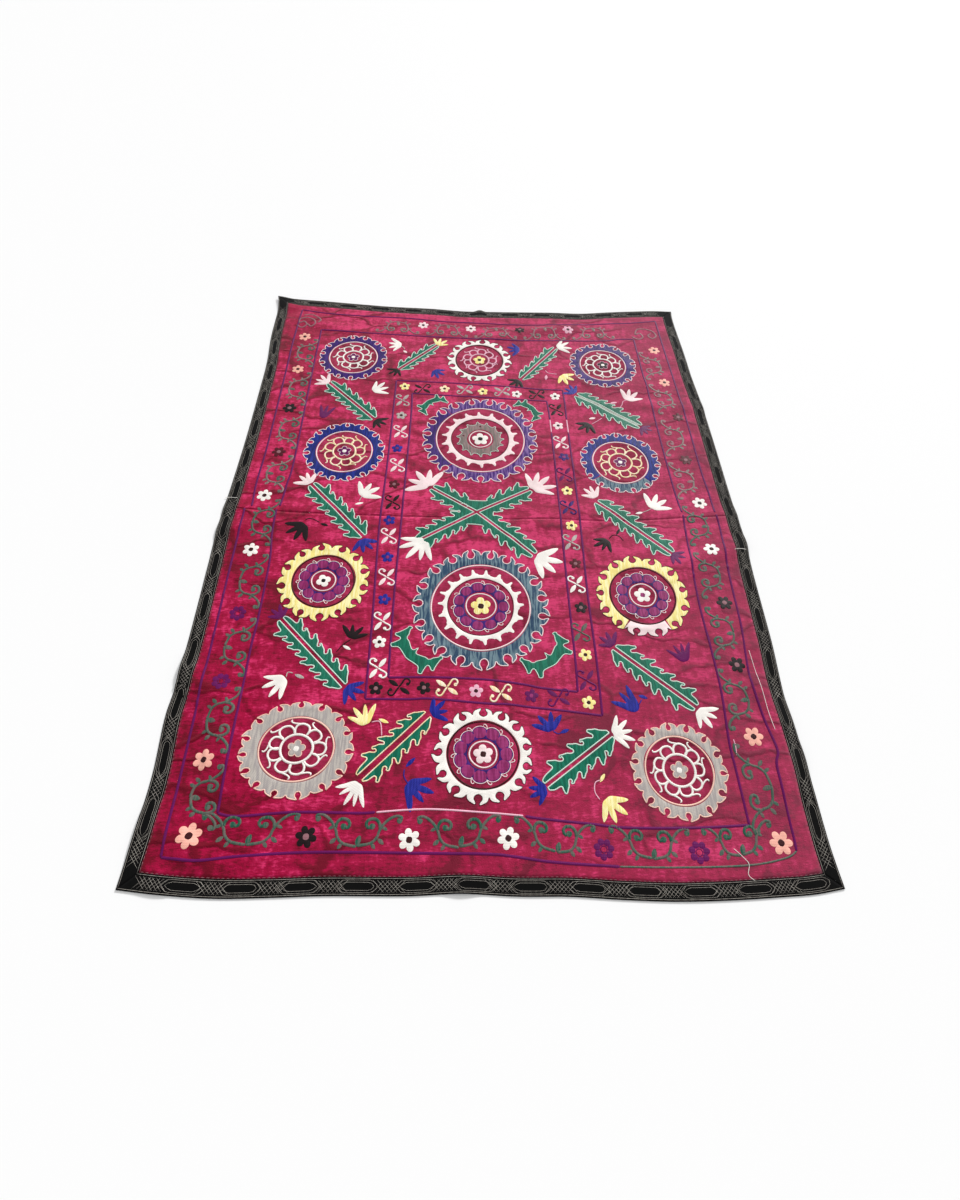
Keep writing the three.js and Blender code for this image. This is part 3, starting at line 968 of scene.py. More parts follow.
class Needlework:
    """Stitches of one thread, which lie on the cloth and follow its folds."""

    # How deep the thread is sunk in the pile, and how high a filling stands at its edge.
    SUNK = 0.35
    EDGE_HEIGHT = 0.35

    # A cord's section, and its sizes at the waist of a link and at an open end.
    SECTION = (-0.5, -0.29, 0.29, 0.5)
    WAIST, END_SIZE, NEXT_SIZE = 0.86, 0.5, 0.85

    # The distance between points of a filling's edge, how far in it reaches its full height, the
    # distance between its inner points, and that between their rows as a share of it.
    EDGE_STEP, SLOPE_WIDTH, SPACING, ROW_SPACING = 3.1, 3.6, 4.4, 0.866

    # Moves the stitch map, so that a cord shows one row and a filling's rows stay above nought.
    CORD_SHIFT, MAP_SHIFT = 1.7, 1000

    def __init__(self, name: str, thread: Thread, ground: Callable[[Points], Points]) -> None:
        """Start with no stitches, over a ground of a given height."""
        self.name = name
        self.thread = thread
        self.ground = ground
        self.parts = MeshParts()

    def cord(
        self, path: Points, width: float, height: float, closed: bool = False, step: float = 2.8
    ) -> None:
        """Work a row of raised stitches along a path.

        Args:
            path: The path's points.
            width: The row's width.
            height: How far it stands above the velvet.
            closed: Whether the path comes back to its start.
            step: The distance between its rings of points, about half a link of the stitch.
        """
        line = evenly_along(np.asarray(path, float), step, closed)
        if len(line) < 3:
            return
        sizes = np.where(np.arange(len(line)) % 2 == 0, 1.0, self.WAIST)
        if closed:
            sides = beside(line, 1.0, closed=True) - line
            line, sides, sizes = (np.concatenate([part, part[:1]]) for part in (line, sides, sizes))
        else:
            sides = beside(line, 1.0) - line
            sizes[[0, -1]] = self.END_SIZE
            sizes[[1, -2]] = self.NEXT_SIZE
        across = np.array(self.SECTION) * width
        rise = np.array([-self.SUNK, height, height, -self.SUNK])
        flat = line[:, None, :] + sides[:, None, :] * across[None, :, None] * sizes[:, None, None]
        ground = self.ground(flat.reshape(-1, 2)).reshape(len(line), 4)
        tops = rise[None, :] * np.where(rise > 0, sizes[:, None], 1.0)
        points = np.dstack([flat, ground + tops])
        at = np.arange(len(line)) * step
        stitch = np.stack(np.broadcast_arrays(across[None, :] + self.CORD_SHIFT, at[:, None]), axis=-1)
        ring = np.arange(len(line) - 1)[:, None] * 4
        quads = [ring + np.array([[k, (k + 1) % 4, (k + 1) % 4 + 4, k + 4]]) for k in range(4)]
        last = 4 * (len(line) - 1)
        ends = np.array([[0, 3, 2, 1], [last, last + 1, last + 2, last + 3]])
        faces = np.vstack(quads + ([] if closed else [ends]))[:, ::-1]
        self.parts.add(points.reshape(-1, 3), faces, stitch.reshape(-1, 2))

    def patch(
        self,
        outline: Points,
        holes: Sequence[Points] = (),
        grain: float = 0.0,
        centre: Point | None = None,
        crown: float = 1.15,
        lift: float = 0.0,
    ) -> None:
        """Fill an outline with rows of stitches.

        Args:
            outline: The closed outline.
            holes: Closed outlines that are left bare.
            grain: The angle that the rows follow.
            centre: A point that the rows go round instead.
            crown: How far the middle of the filling stands above the velvet.
            lift: How far it is raised by work under it.
        """
        loops = [np.asarray(loop, float) for loop in (outline, *holes)]
        loops = [evenly_along(loop, self.EDGE_STEP, closed=True) for loop in loops]
        points = np.vstack([*loops, self._inner_points(loops)])
        edges, start = [], 0
        for loop in loops:
            count = len(loop)
            edges += [(start + k, start + (k + 1) % count) for k in range(count)]
            start += count
        places = [Vector(point) for point in points]
        flat, _, faces, *_ = delaunay_2d_cdt(places, edges, [], 0, SHORTEST_STEP, True)
        flat = np.array(flat)
        faces = np.array([face for face in faces if len(face) == 3])
        middles = flat[faces].mean(axis=1)
        inside = is_inside(middles, loops[0])
        for hole in loops[1:]:
            inside &= ~is_inside(middles, hole)
        faces = faces[inside]
        gap = np.min([distance_to(flat, loop, closed=True)[0] for loop in loops], axis=0)
        edge = self.EDGE_HEIGHT
        tops = lift + edge + (crown - edge) * np.sin(0.5 * np.pi * np.clip(gap / self.SLOPE_WIDTH, 0, 1))
        solid = np.column_stack([flat, self.ground(flat) + tops])
        self.parts.add(solid, faces, self._rows(flat, faces, grain, centre))
        self._skirts(loops, lift + edge, lift - self.SUNK)

    def _inner_points(self, loops: list[Points]) -> Points:
        """Points in a honeycomb over the inside of an outline, clear of its edges."""
        low, high = loops[0].min(axis=0), loops[0].max(axis=0)
        x = np.arange(low[0], high[0], self.SPACING)
        y = np.arange(low[1], high[1], self.SPACING * self.ROW_SPACING)
        grid_x, grid_y = np.meshgrid(x, y)
        grid_x[1::2] += self.SPACING / 2
        points = np.column_stack([grid_x.ravel(), grid_y.ravel()])
        points = points[is_inside(points, loops[0])]
        for hole in loops[1:]:
            points = points[~is_inside(points, hole)]
        if len(points):
            gap = np.min([distance_to(points, loop, closed=True)[0] for loop in loops], axis=0)
            points = points[gap > 0.5 * self.SPACING]
        return points

    def _rows(self, flat: Points, faces: Points, grain: float, centre: Point | None) -> Points:
        """Where each corner of each face lies in the rows of stitches."""
        corners = flat[faces]
        if centre is None:
            along = unit_vector(grain)
            rows = corners @ (-along[1], along[0]), corners @ along
            return np.stack(rows, axis=-1) + self.MAP_SHIFT
        spokes = corners - np.asarray(centre)
        radius = np.hypot(spokes[..., 0], spokes[..., 1])
        angle = np.arctan2(spokes[..., 1], spokes[..., 0])
        angle = np.where(angle.max(axis=1, keepdims=True) - angle > math.pi, angle + FULL_TURN, angle)
        return np.stack([radius, angle * radius.mean()], axis=-1)

    def _skirts(self, loops: list[Points], top: float, bottom: float) -> None:
        """Close the sides of a filling down into the velvet."""
        for loop in loops:
            count = len(loop)
            ground = self.ground(loop)
            sides = [np.column_stack([loop, ground + height]) for height in (top, bottom)]
            here = np.arange(count)
            after = (here + 1) % count
            faces = np.column_stack([here, after, after + count, here + count])
            self.parts.add(np.vstack(sides), faces, np.zeros((2 * count, 2)))

    def finish(self) -> Piece:
        """Put the stitches in the scene as one piece."""
        thread, name = self.thread.value, self.thread.name.lower()
        material = bpy.data.materials.get(name) or thread.material(name)
        return show(self.name, self.parts.mesh(self.name), material, thread.slot)


class Workbasket:
    """The work in hand: one gathered piece for each family of motifs and each thread."""

    EDGING = "edging_stitches"

    def __init__(self, form: ClothForm) -> None:
        """Start with no work."""
        self.form = form
        self.work: dict[str, Needlework] = {}

    def take(self, family: str, thread: Thread) -> Needlework:
        """The work of a family in a thread."""
        name = f"{family}_{thread.name.lower()}"
        if name not in self.work:
            ground = self.form.edging_top if family == self.EDGING else self.form.velvet_top
            self.work[name] = Needlework(name, thread, ground)
        return self.work[name]

    def finish(self) -> list[Piece]:
        """Put all the work in the scene."""
        return [self.work[name].finish() for name in sorted(self.work)]


Taker = Callable[[Thread], Needlework]


# ------------------------ the cloth's pieces


@dataclass
class ClothPiece:
    """One cut piece of cloth, spread out as a thin closed sheet over a grid of points."""

    name: str
    form: ClothForm
    finish: VelvetFinish | EdgingFinish
    slot: str
    flat: tuple[float, float]

    def sheet(self, grid: Points, thickness: Points) -> Piece:
        """Make the piece.

        Args:
            grid: Rows of points, anticlockwise round the piece, in millimetres.
            thickness: The thickness at each of them.

        Returns:
            The piece.
        """
        rows, columns = thickness.shape
        flat = grid.reshape(-1, 2)
        under = self.form.underside(flat)
        lower = np.column_stack([flat, under])
        upper = np.column_stack([flat, under + thickness.ravel()])
        at = np.arange(rows * columns).reshape(rows, columns)
        a, b, c, d = at[:-1, :-1], at[:-1, 1:], at[1:, 1:], at[1:, :-1]
        faces = np.stack([a, b, c, d], axis=-1).reshape(-1, 4)
        rim = np.concatenate([at[0, :-1], at[:-1, -1], at[-1, :0:-1], at[:0:-1, 0]])
        after = np.roll(rim, -1)
        total = rows * columns
        sides = np.column_stack([rim, after, after + total, rim + total])
        parts = MeshParts()
        points = np.vstack([lower, upper])
        parts.add(points, np.vstack([faces + total, faces[:, ::-1], sides]), points[:, :2])
        mesh = parts.mesh(self.name)
        self.mark(mesh, points[:, :2])
        return show(self.name, mesh, self.finish.material(), self.slot)

    def mark(self, mesh: bpy.types.Mesh, flat: Points) -> None:
        """Mark places on the piece for its finish. A plain piece has none to mark."""

    def declare(self, piece: Piece, node: str, work: Sequence[Piece] = ()) -> None:
        """Say which solid the piece takes the place of, and the size that it was cut to."""
        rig.replaces(piece, node)
        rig.sheet(piece, flat=self.flat, held="laid", rests_on=["floor"], with_pieces=list(work))


@dataclass
class VelvetPanel(ClothPiece):
    """One of the two velvet panels."""

    is_far: bool = False
    pressed: Sequence[tuple[Point, float]] = ()

    PITCH = 8.0
    SOFT_EDGE = 10.0

    def build(self) -> Piece:
        """Make the panel."""
        form = self.form
        inset = form.EDGING_WIDTH + form.PIECE_GAP
        across = np.linspace(inset, form.CUT_WIDTH - inset, int(form.CUT_WIDTH / self.PITCH))
        seam = form.seam_along(across)
        if self.is_far:
            start, end = seam + form.PIECE_GAP / 2, np.full(len(across), form.CUT_LENGTH - inset)
        else:
            start, end = np.full(len(across), inset), seam - form.PIECE_GAP / 2
        share = np.linspace(0, 1, int((end - start)[0] / self.PITCH))[:, None]
        grid = form.spread(across[None, :], start + (end - start) * share)
        return self.sheet(grid, np.full(grid.shape[:2], form.VELVET_THICKNESS))

    def mark(self, mesh: bpy.types.Mesh, flat: Points) -> None:
        """Mark where the pile is pressed flat, inside the roundels."""
        amount = np.zeros(len(flat))
        for centre, radius in self.pressed:
            gap = np.hypot(*(flat - centre).T)
            inwards = (radius + self.SOFT_EDGE / 2 - gap) / self.SOFT_EDGE
            amount = np.maximum(amount, smooth_step(inwards))
        layer = mesh.attributes.new("pressed", "FLOAT", "POINT")
        layer.data.foreach_set("value", amount)


class Side(Enum):
    """The cloth's four sides."""

    LEFT = "left"
    RIGHT = "right"
    NEAR = "near"
    FAR = "far"


@dataclass
class EdgingStrip(ClothPiece):
    """A strip of edging, mitred at its ends."""

    side: Side = Side.LEFT

    PITCH = 8.0

    # Distances in from the cloth's edge. The folded edge is thinner, as it is turned round.
    DEPTHS = (0.0, 1.6, 5.0, 11.0, 18.0, 25.0, 32.0, 37.4, 39.0)
    FULLNESS = (0.62, 0.95, 1.0, 1.0, 1.0, 1.0, 1.0, 1.0, 0.84)

    def cut_point(self, along: Points, depth: Points) -> tuple[Points, Points]:
        """Across and along the cut cloth, from places along this side and depths into it."""
        form = self.form
        if self.side is Side.LEFT:
            return depth, along
        if self.side is Side.RIGHT:
            return form.CUT_WIDTH - depth, along
        if self.side is Side.NEAR:
            return along, depth
        return along, form.CUT_LENGTH - depth

    @property
    def length(self) -> float:
        """The cut length of this side."""
        sideways = self.side in (Side.LEFT, Side.RIGHT)
        return self.form.CUT_LENGTH if sideways else self.form.CUT_WIDTH

    def build(self) -> Piece:
        """Make the strip."""
        form = self.form
        depths = np.array(self.DEPTHS)
        clear = depths + form.PIECE_GAP / math.sqrt(2)
        share = np.linspace(0, 1, int(self.length / self.PITCH))[:, None]
        along = clear + (self.length - 2 * clear) * share
        across, length = self.cut_point(along, np.broadcast_to(depths, along.shape))
        grid = form.spread(across, length)
        thickness = form.edging_thickness(across, length) * np.array(self.FULLNESS)
        if self.side in (Side.NEAR, Side.FAR):
            grid, thickness = grid.transpose(1, 0, 2), thickness.T
        if self.side is Side.FAR:
            grid, thickness = grid[::-1], thickness[::-1]
        if self.side is Side.RIGHT:
            grid, thickness = grid[:, ::-1], thickness[:, ::-1]
        return self.sheet(grid, thickness)


@dataclass
class EdgingStitches:
    """Machine stitching on the edging: parallel lines, lozenges and cross-hatch between them."""

    strip: EdgingStrip
    hatch_pitch: float
    hatch_start: float
    seed: int

    # Depths into the strip: the two lines, and between them the top and bottom of the figures.
    LINES = (3.6, 36.0)
    TOP, BOTTOM = 7.0, 32.5

    # The machine's thread.
    WIDTH, LINE_WIDTH, HEIGHT, STEP = 0.75, 1.0, 0.35, 9.0

    # How far hatches and lozenges stay from the strip's end, and how unevenly they are set.
    HATCH_CLEAR, LOZENGE_CLEAR = 60, 70
    HATCH_SHIFT, LOZENGE_SHIFT = 5, 4

    # Cross-hatch: its threads, where the first starts, their pitch, and how far they slant.
    HATCHES, FIRST, PITCH, BACK, ON = 6, 29, 9.6, 8, 18

    # Lozenges: the insets of their lines, their half length over the pitch, and their points.
    INSETS = (0.0, 4.5)
    HALF, POINT = 0.38, 15

    def work(self, basket: Workbasket) -> None:
        """Sew the stitching of this strip."""
        needle = basket.take(Workbasket.EDGING, Thread.MACHINE)
        rng = np.random.default_rng(self.seed)
        length = self.strip.length
        for depth in self.LINES:
            self._sew(needle, [(depth, depth), (length - depth, depth)], self.LINE_WIDTH)
        at = self.hatch_start
        while at < length - self.HATCH_CLEAR:
            self._hatch(needle, at + rng.uniform(-self.HATCH_SHIFT, self.HATCH_SHIFT), rng)
            middle = at + self.hatch_pitch / 2
            if middle < length - self.LOZENGE_CLEAR:
                self._lozenge(needle, middle + rng.uniform(-self.LOZENGE_SHIFT, self.LOZENGE_SHIFT), rng)
            at += self.hatch_pitch

    def _sew(self, needle: Needlework, corners: Sequence[Point], width: float = WIDTH) -> None:
        """Sew a thread along straight lines on the strip."""
        line = evenly_along(np.array(corners, float), self.STEP)
        across, along = self.strip.cut_point(line[:, 0], line[:, 1])
        needle.cord(self.strip.form.spread(across, along), width, self.HEIGHT, step=self.STEP)

    def _hatch(self, needle: Needlework, at: float, rng: Random) -> None:
        """Cross-hatch over a short length."""
        for k in range(self.HATCHES):
            start = at - self.FIRST + self.PITCH * k + rng.uniform(-1, 1)
            self._sew(needle, [(start - self.BACK, self.TOP), (start + self.ON, self.BOTTOM)])
            self._sew(needle, [(start + self.ON, self.TOP), (start - self.BACK, self.BOTTOM)])

    def _lozenge(self, needle: Needlework, at: float, rng: Random) -> None:
        """A long six-sided figure in two lines."""
        middle = mix(self.TOP, self.BOTTOM, 0.5)
        for inset in self.INSETS:
            half = self.hatch_pitch * self.HALF - 2.0 * inset + rng.uniform(-1, 1)
            flat = half - self.POINT + 0.8 * inset
            top, bottom = self.TOP + inset, self.BOTTOM - inset
            corners = [(-half, middle), (-flat, top), (flat, top)]
            corners += [(half, middle), (flat, bottom), (-flat, bottom)]
            corners = [(at + x, y) for x, y in corners]
            self._sew(needle, corners + corners[:1])


@dataclass
class JoinStitches:
    """Whitish tacking stitches along the join of the velvet and the edging."""

    form: ClothForm

    # How far in from the edging they are, their pitch, and their thread.
    INSET, PITCH = 1.5, 11.0
    WIDTH, HEIGHT, STEP = 1.5, 0.55, 3.0

    # Where a stitch starts, bends and ends, as shares of the pitch.
    PLACES = ((0.1,), (0.4,), (0.72,))
    SHIFT = 0.12

    def work(self, basket: Workbasket) -> None:
        """Sew the tacking all round."""
        needle = basket.take("tacking", Thread.ROSE_GREY)
        rng = np.random.default_rng(5)
        near = self.form.EDGING_WIDTH + self.INSET
        right, far = self.form.CUT_WIDTH - near, self.form.CUT_LENGTH - near
        corners = [(near, near), (right, near), (right, far), (near, far)]
        for start, end in zip(corners, corners[1:] + corners[:1]):
            line = evenly_along(np.array([start, end], float), self.PITCH)
            for here, after in zip(line, line[1:]):
                stitch = mix(here, after, np.array(self.PLACES) + rng.uniform(0, self.SHIFT))
                needle.cord(self.form.spread(*stitch.T), self.WIDTH, self.HEIGHT, step=self.STEP)


# ------------------------ small shapes

# How high the dot in the middle of a flower stands over it, and how far it is raised.
DOT_OVER = {"crown": 0.9, "lift": 0.8}


def blossom(centre: Point, radius: float, petals: int, turn: float = 0.0, depth: float = 0.34) -> Points:
    """The outline of a flower with round petals."""
    angles = ring_angles(petals * 16)
    lobes = np.abs(np.cos(petals * angles / 2)) ** 0.7
    return polar(angles + turn, radius * (1 - depth + depth * lobes), centre)


def leaf_shape(start: Point, end: Point, width: float) -> Points:
    """The outline of a simple pointed leaf."""
    length = math.hypot(end[0] - start[0], end[1] - start[1])
    upper = [(0, 0), (0.3, 0.86), (0.62, 0.94), (0.9, 0.42), (1, 0)]
    lower = [(0.88, -0.46), (0.6, -0.92), (0.28, -0.8)]
    points = [(x * length, y * (width / 2)) for x, y in upper + lower]
    return placed(curve_through(points, closed=True, steps=5), start, direction_of(start, end))


def letters_sum(name: str) -> int:
    """A number made from a name, for the seed of a motif's unevenness."""
    return sum(ord(letter) for letter in name)


@dataclass(frozen=True)
class HookPair:
    """A crest between two bays, with a claw at each end that curls over its bay, made of arcs.

    Attributes:
        bay: Half the width of the bays beside it.
        notch: The height of the notch between the claws.
        height: How far the claws stand out.
    """

    bay: float
    notch: float
    height: float

    # The bay's depth over the height, the claw's lean over the bay, and its rounding.
    DEPTH, LEAN, TIP = 0.4, 0.56, 1.6

    def __call__(self, width: float, height: float) -> Points:
        """Its edge, from the middle of one bay to the middle of the next."""
        depth, lean = self.DEPTH * height, self.LEAN * self.bay
        inside = np.array(arc((0, 0), 1.0, -90, 52, 6)) * (self.bay, depth) + (0, depth)
        point = np.array(arc((lean, height - self.TIP), self.TIP, 195, 70, 3))
        back = np.array(arc((0, 0), 1.0, 55, 12, 3)) * (width / 2 - lean - 1.5, 0.9 * (height - self.notch))
        foot = (width / 2 - 1.3, self.notch)
        left = np.vstack([inside, point, back + (lean, self.notch), foot]) - (width / 2, 0)
        return np.vstack([left, mirrored(left)[::-1]])


def tooth(valley: float, reach: float, pitch: float) -> list[Point]:
    """The edge of one tooth, which curls back over the bay before it.

    Args:
        valley: The height of the edge between teeth.
        reach: The height of the tooth's tip.
        pitch: The distance to the next tooth.

    Returns:
        Points along the edge and out from its foot.
    """
    bay, beak = 0.17 * pitch, 0.12 * pitch
    edge = arc((0.03 * pitch, valley + bay), bay, -90, 52, 4)
    edge += arc((bay - 0.04 * pitch, reach - beak), beak, 225, 30, 5)
    back = ((0.45, 0.7), (0.66, 0.55), (0.85, 0.2))
    return [*edge, *((share * pitch, mix(valley, reach, up)) for share, up in back)]


def flame(width: float, height: float) -> Points:
    """The edge of one small flame, from one valley to the next: a low bump, a curled tip and a bay."""
    bump = arc((-0.26 * width, 0.0), 0.17 * width, 160, 75, 3)
    tip = arc((-0.03 * width, height - 0.08 * width), 0.08 * width, 205, 20, 4)
    bay = arc((0.31 * width, 0.24 * width), 0.22 * width, 172, 268, 4)
    return np.array(bump + tip + bay)


class HookedEdge:
    """A ring's outer edge of hooks."""

    # Their unevenness: in width, height, and how far they lean, as a share of a turn.
    WIDTHS, HEIGHTS, LEAN = (0.86, 1.14), (0.84, 1.1), 0.035

    def __init__(
        self,
        centre: Point,
        valley: float,
        height: float,
        units: int,
        hook: Hook,
        seed: int,
        squash: float = 1.0,
    ) -> None:
        """Lay out the edge.

        Args:
            centre: The ring's centre.
            valley: The radius where the hooks start.
            height: How far they stand out.
            units: The number of hooks or pairs.
            hook: Gives the edge of one from its width and height.
            seed: The seed of their unevenness.
            squash: The ring's height over its width.
        """
        rng = np.random.default_rng(seed)
        starts = np.cumsum(rng.uniform(*self.WIDTHS, units))
        starts = FULL_TURN * starts / starts[-1] + rng.uniform(0, 0.4)
        knots = []
        for k in range(units):
            turn = (starts[(k + 1) % units] - starts[k]) % FULL_TURN
            width = turn * valley
            edge = hook(width, height)
            share = edge[:, 0] / width + 0.5
            tall = np.where(edge[:, 1] > 0, np.interp(share, (0, 1), rng.uniform(*self.HEIGHTS, 2)), 1.0)
            lean = rng.uniform(-self.LEAN, self.LEAN) * np.clip(2 * edge[:, 1] / height, 0, 1)
            knots.append(polar(starts[k] + turn * (share + lean), valley + edge[:, 1] * tall))
        self.outline = curve_through(np.vstack(knots), closed=True, steps=4) * (1, squash) + centre
        self.centre = centre
        self.squash = squash

    def sector(self, inner: float, start: float, end: float) -> Points:
        """The outline of a part of the ring, between two angles in degrees."""
        spokes = (self.outline - self.centre) / (1, self.squash)
        angles = np.degrees(np.arctan2(spokes[:, 1], spokes[:, 0])) % 360
        inside = (angles - start) % 360 <= (end - start) % 360
        first = int(np.argmax(inside & ~np.roll(inside, 1)))
        outer = np.roll(self.outline, -first, axis=0)[: int(inside.sum())]
        sweep = np.radians(np.arange(end if end > start else end + 360, start, -3.0))
        return np.vstack([outer, polar(sweep, inner, self.centre, self.squash)])


# ------------------------ roundels


class Ring(Enum):
    """What fills a roundel round its hub."""

    PETALS = "petals"
    SCALLOPS = "scallops"
    TEETH = "teeth"


@dataclass(frozen=True)
class Flower:
    """A small flower at the middle of a roundel."""

    thread: Thread
    dot: Thread
    radius: float = 23
    petals: int = 5
    edge: Thread | None = None
    turn: float = 0.4


@dataclass(frozen=True)
class Roundel:
    """A large round motif: a hooked rim, an inner line, a ring of petals, a hub and a flower.

    Attributes:
        name: What it is called.
        centre: Its middle.
        tips: The radius to the tips of its rim.
        line: The radius of its inner line.
        rim: The rim's thread.
        edge: The thread of the rim's outline and of the inner line.
        ring: What fills it.
        ring_radius: The radius of that.
        hub: The radius of the hub's circle.
        flower: The flower in it.
        petals: The thread of the ring's petals.
        units: How many pairs of hooks the rim has.
        squash: Its height over its width.
        sector: A part of the rim in another thread, and its start and end in degrees.
        flame: The inner radius and the tips of a ring of hooks inside the line.
    """

    name: str
    centre: Point
    tips: float
    line: float
    rim: Thread
    edge: Thread
    ring: Ring
    ring_radius: float
    hub: float
    flower: Flower
    petals: Thread = Thread.WHITE
    units: int = 13
    squash: float = 1.0
    sector: tuple[Thread, float, float] | None = None
    flame: tuple[float, float] | None = None

    # The hooks of a dark outline, of a large rim and of a light outline.
    OPEN = HookPair(bay=9.6, notch=8.5, height=25.0)
    WIDE = HookPair(bay=10.0, notch=13.0, height=32.0)
    CLOSE = HookPair(bay=6.4, notch=10.0, height=21.0)
    LARGE = 160.0

    # The width and height of each cord, and how far in from its edge the rim's outline lies.
    DARK_EDGE, LIGHT_EDGE = (2.0, 0.9, -0.6), (3.6, 1.25, 1.0)
    LINE, FLAME_FOOT, FLOWER_EDGE = (5.0, 1.15), (2.6, 0.8), (2.6, 1.15)
    PETAL_HUB, SCALLOP_HUB, TEETH_HUB = (7.5, 1.3), (4.6, 1.2), (5.0, 1.25)
    SCALLOP_EDGE, NOTCH_CORD, TEETH_EDGE = (2.4, 1.25), (2.8, 1.3), (2.4, 1.2)
    PETAL_HEIGHT = 1.15

    # How high what is worked over a filling stands, and how far it is raised.
    PETAL_OVER, SPOT_OVER = {"crown": 0.9, "lift": 0.75}, {"crown": 0.8, "lift": 0.75}

    # The gap between the inner line and the rim; a small flower's petals in depth, and its dot's size.
    RIM_GAP, FLOWER_DEPTH, DOT_SIZE = 3.4, 0.38, 0.32

    # A hand-worked circle: its points and the height and numbers of its waves.
    POINTS, WAVE, WAVES = 96, 0.7, (2, 3, 5)

    # Arched petals and their tails, in shares of the way between petals and radii, and their widths.
    PETALS, PETAL_RADIUS = 9, 76
    ARCH = ((-0.47, 41), (-0.47, 54), (-0.3, 66), (0.02, 70), (0.3, 66), (0.47, 54), (0.47, 42))
    TAIL = ((0.02, 70), (0.28, 70), (0.5, 73), (0.6, 79), (0.54, 83))
    STROKES = ((ARCH, 6.6), (TAIL, 5.0))
    PETAL_SHIFT, PETAL_SIZES = 0.07, (0.94, 1.05)

    # Scallops with their points and roundness, the place and size of the petal in each between hub
    # and edge, and the hook at each notch in angles and radii from the ring's own.
    SCALLOPS, SCALLOP_DEPTH, SCALLOP_POINTS, SCALLOP_ROUNDNESS = 11, 9, 18, 0.6
    INNER_PETAL, INNER_PETAL_SIZE = 0.57, 0.41
    NOTCH_HOOK = ((-0.02, -10), (0.0, -2), (0.05, 4), (0.11, 4), (0.12, 0))

    # Flames: their number, how far in from the tips they start and how far they stand out; and the
    # number and height of the grey ring's, with the number, place and size of its spots.
    FLAMES, FLAME_DEPTH, FLAME_HEIGHT = 18, 17, 20
    TEETH, TOOTH_HEIGHT, SPOTS, SPOT_PLACE, SPOT_RADIUS = 15, 14, 14, 0.48, 4.6

    @property
    def seed(self) -> int:
        """A seed of its own, for its unevenness."""
        return letters_sum(self.name)

    def work(self, basket: Workbasket) -> None:
        """Work the whole roundel."""
        take = partial(basket.take, "roundel")
        self._rim(take)
        take(self.edge).cord(self._circle(self.line, 1), *self.LINE, closed=True)
        if self.flame:
            self._flame(take)
        {Ring.PETALS: self._petals, Ring.SCALLOPS: self._scallops, Ring.TEETH: self._teeth}[self.ring](take)
        self._hub(take)

    def _circle(self, radius: float, seed: int = 0) -> Points:
        """A hand-worked circle, a little uneven."""
        angles = ring_angles(self.POINTS)
        rng = np.random.default_rng(self.seed + seed)
        swing = rng.uniform
        waves = sum(swing(-self.WAVE, self.WAVE) * np.cos(n * angles + swing(0, 6)) for n in self.WAVES)
        return self._polar(angles, radius + waves)

    def _polar(self, angle: Points | float, radius: Points | float) -> Points:
        """Points from angles and radii round its middle."""
        return polar(angle, radius, self.centre, self.squash)

    def _hooks(self, valley: float, height: float, units: int, hook: Hook, seed: int) -> HookedEdge:
        """A hooked edge round its middle."""
        return HookedEdge(self.centre, valley, height, units, hook, self.seed + seed, self.squash)

    def _ring(self, take: Taker, thread: Thread, outline: Points, inner: Points) -> None:
        """A filled ring whose rows of stitches go round the middle."""
        take(thread).patch(outline, [inner], centre=self.centre)

    def _rim(self, take: Taker) -> None:
        """The rim of paired hooks."""
        is_dark = self.edge in (Thread.BROWN, Thread.BLACK)
        hook = self.OPEN if is_dark else self.CLOSE
        if self.tips > self.LARGE:
            hook = self.WIDE
        edge = self._hooks(self.tips - hook.height, hook.height, self.units, hook, 0)
        inner = self.line + self.RIM_GAP
        if self.sector is None:
            self._ring(take, self.rim, edge.outline, self._circle(inner))
        else:
            thread, start, end = self.sector
            for piece_thread, first, last in ((self.rim, end, start), (thread, start, end)):
                part = edge.sector(inner, first, last)
                take(piece_thread).patch(part, centre=self.centre)
        width, height, inset = self.DARK_EDGE if is_dark else self.LIGHT_EDGE
        outline = beside(edge.outline, inset, closed=True)
        take(self.edge).cord(outline, width, height, closed=True, step=3.0)

    def _flame(self, take: Taker) -> None:
        """A ring of small flames inside the line."""
        inner, tips = self.flame
        edge = self._hooks(tips - self.FLAME_DEPTH, self.FLAME_HEIGHT, self.FLAMES, flame, 7)
        self._ring(take, self.petals, edge.outline, self._circle(inner, 2))
        take(Thread.MAROON).cord(self._circle(inner - 2.0, 2), *self.FLAME_FOOT, closed=True)

    def _petals(self, take: Taker) -> None:
        """A ring of arched petals in cord, each with a tail that curls outwards."""
        needle = take(self.petals)
        rng = np.random.default_rng(self.seed + 3)
        scale = self.ring_radius / self.PETAL_RADIUS
        for k in range(self.PETALS):
            at = (k + rng.uniform(-self.PETAL_SHIFT, self.PETAL_SHIFT)) * FULL_TURN / self.PETALS
            grown = scale * rng.uniform(*self.PETAL_SIZES)
            for stroke, width in self.STROKES:
                shares, radii = np.array(stroke).T
                path = self._polar(at + shares * FULL_TURN / self.PETALS, radii * grown)
                needle.cord(curve_through(path, steps=6), width, self.PETAL_HEIGHT)
        needle.cord(self._circle(self.hub + 1.0, 4), *self.PETAL_HUB, closed=True)

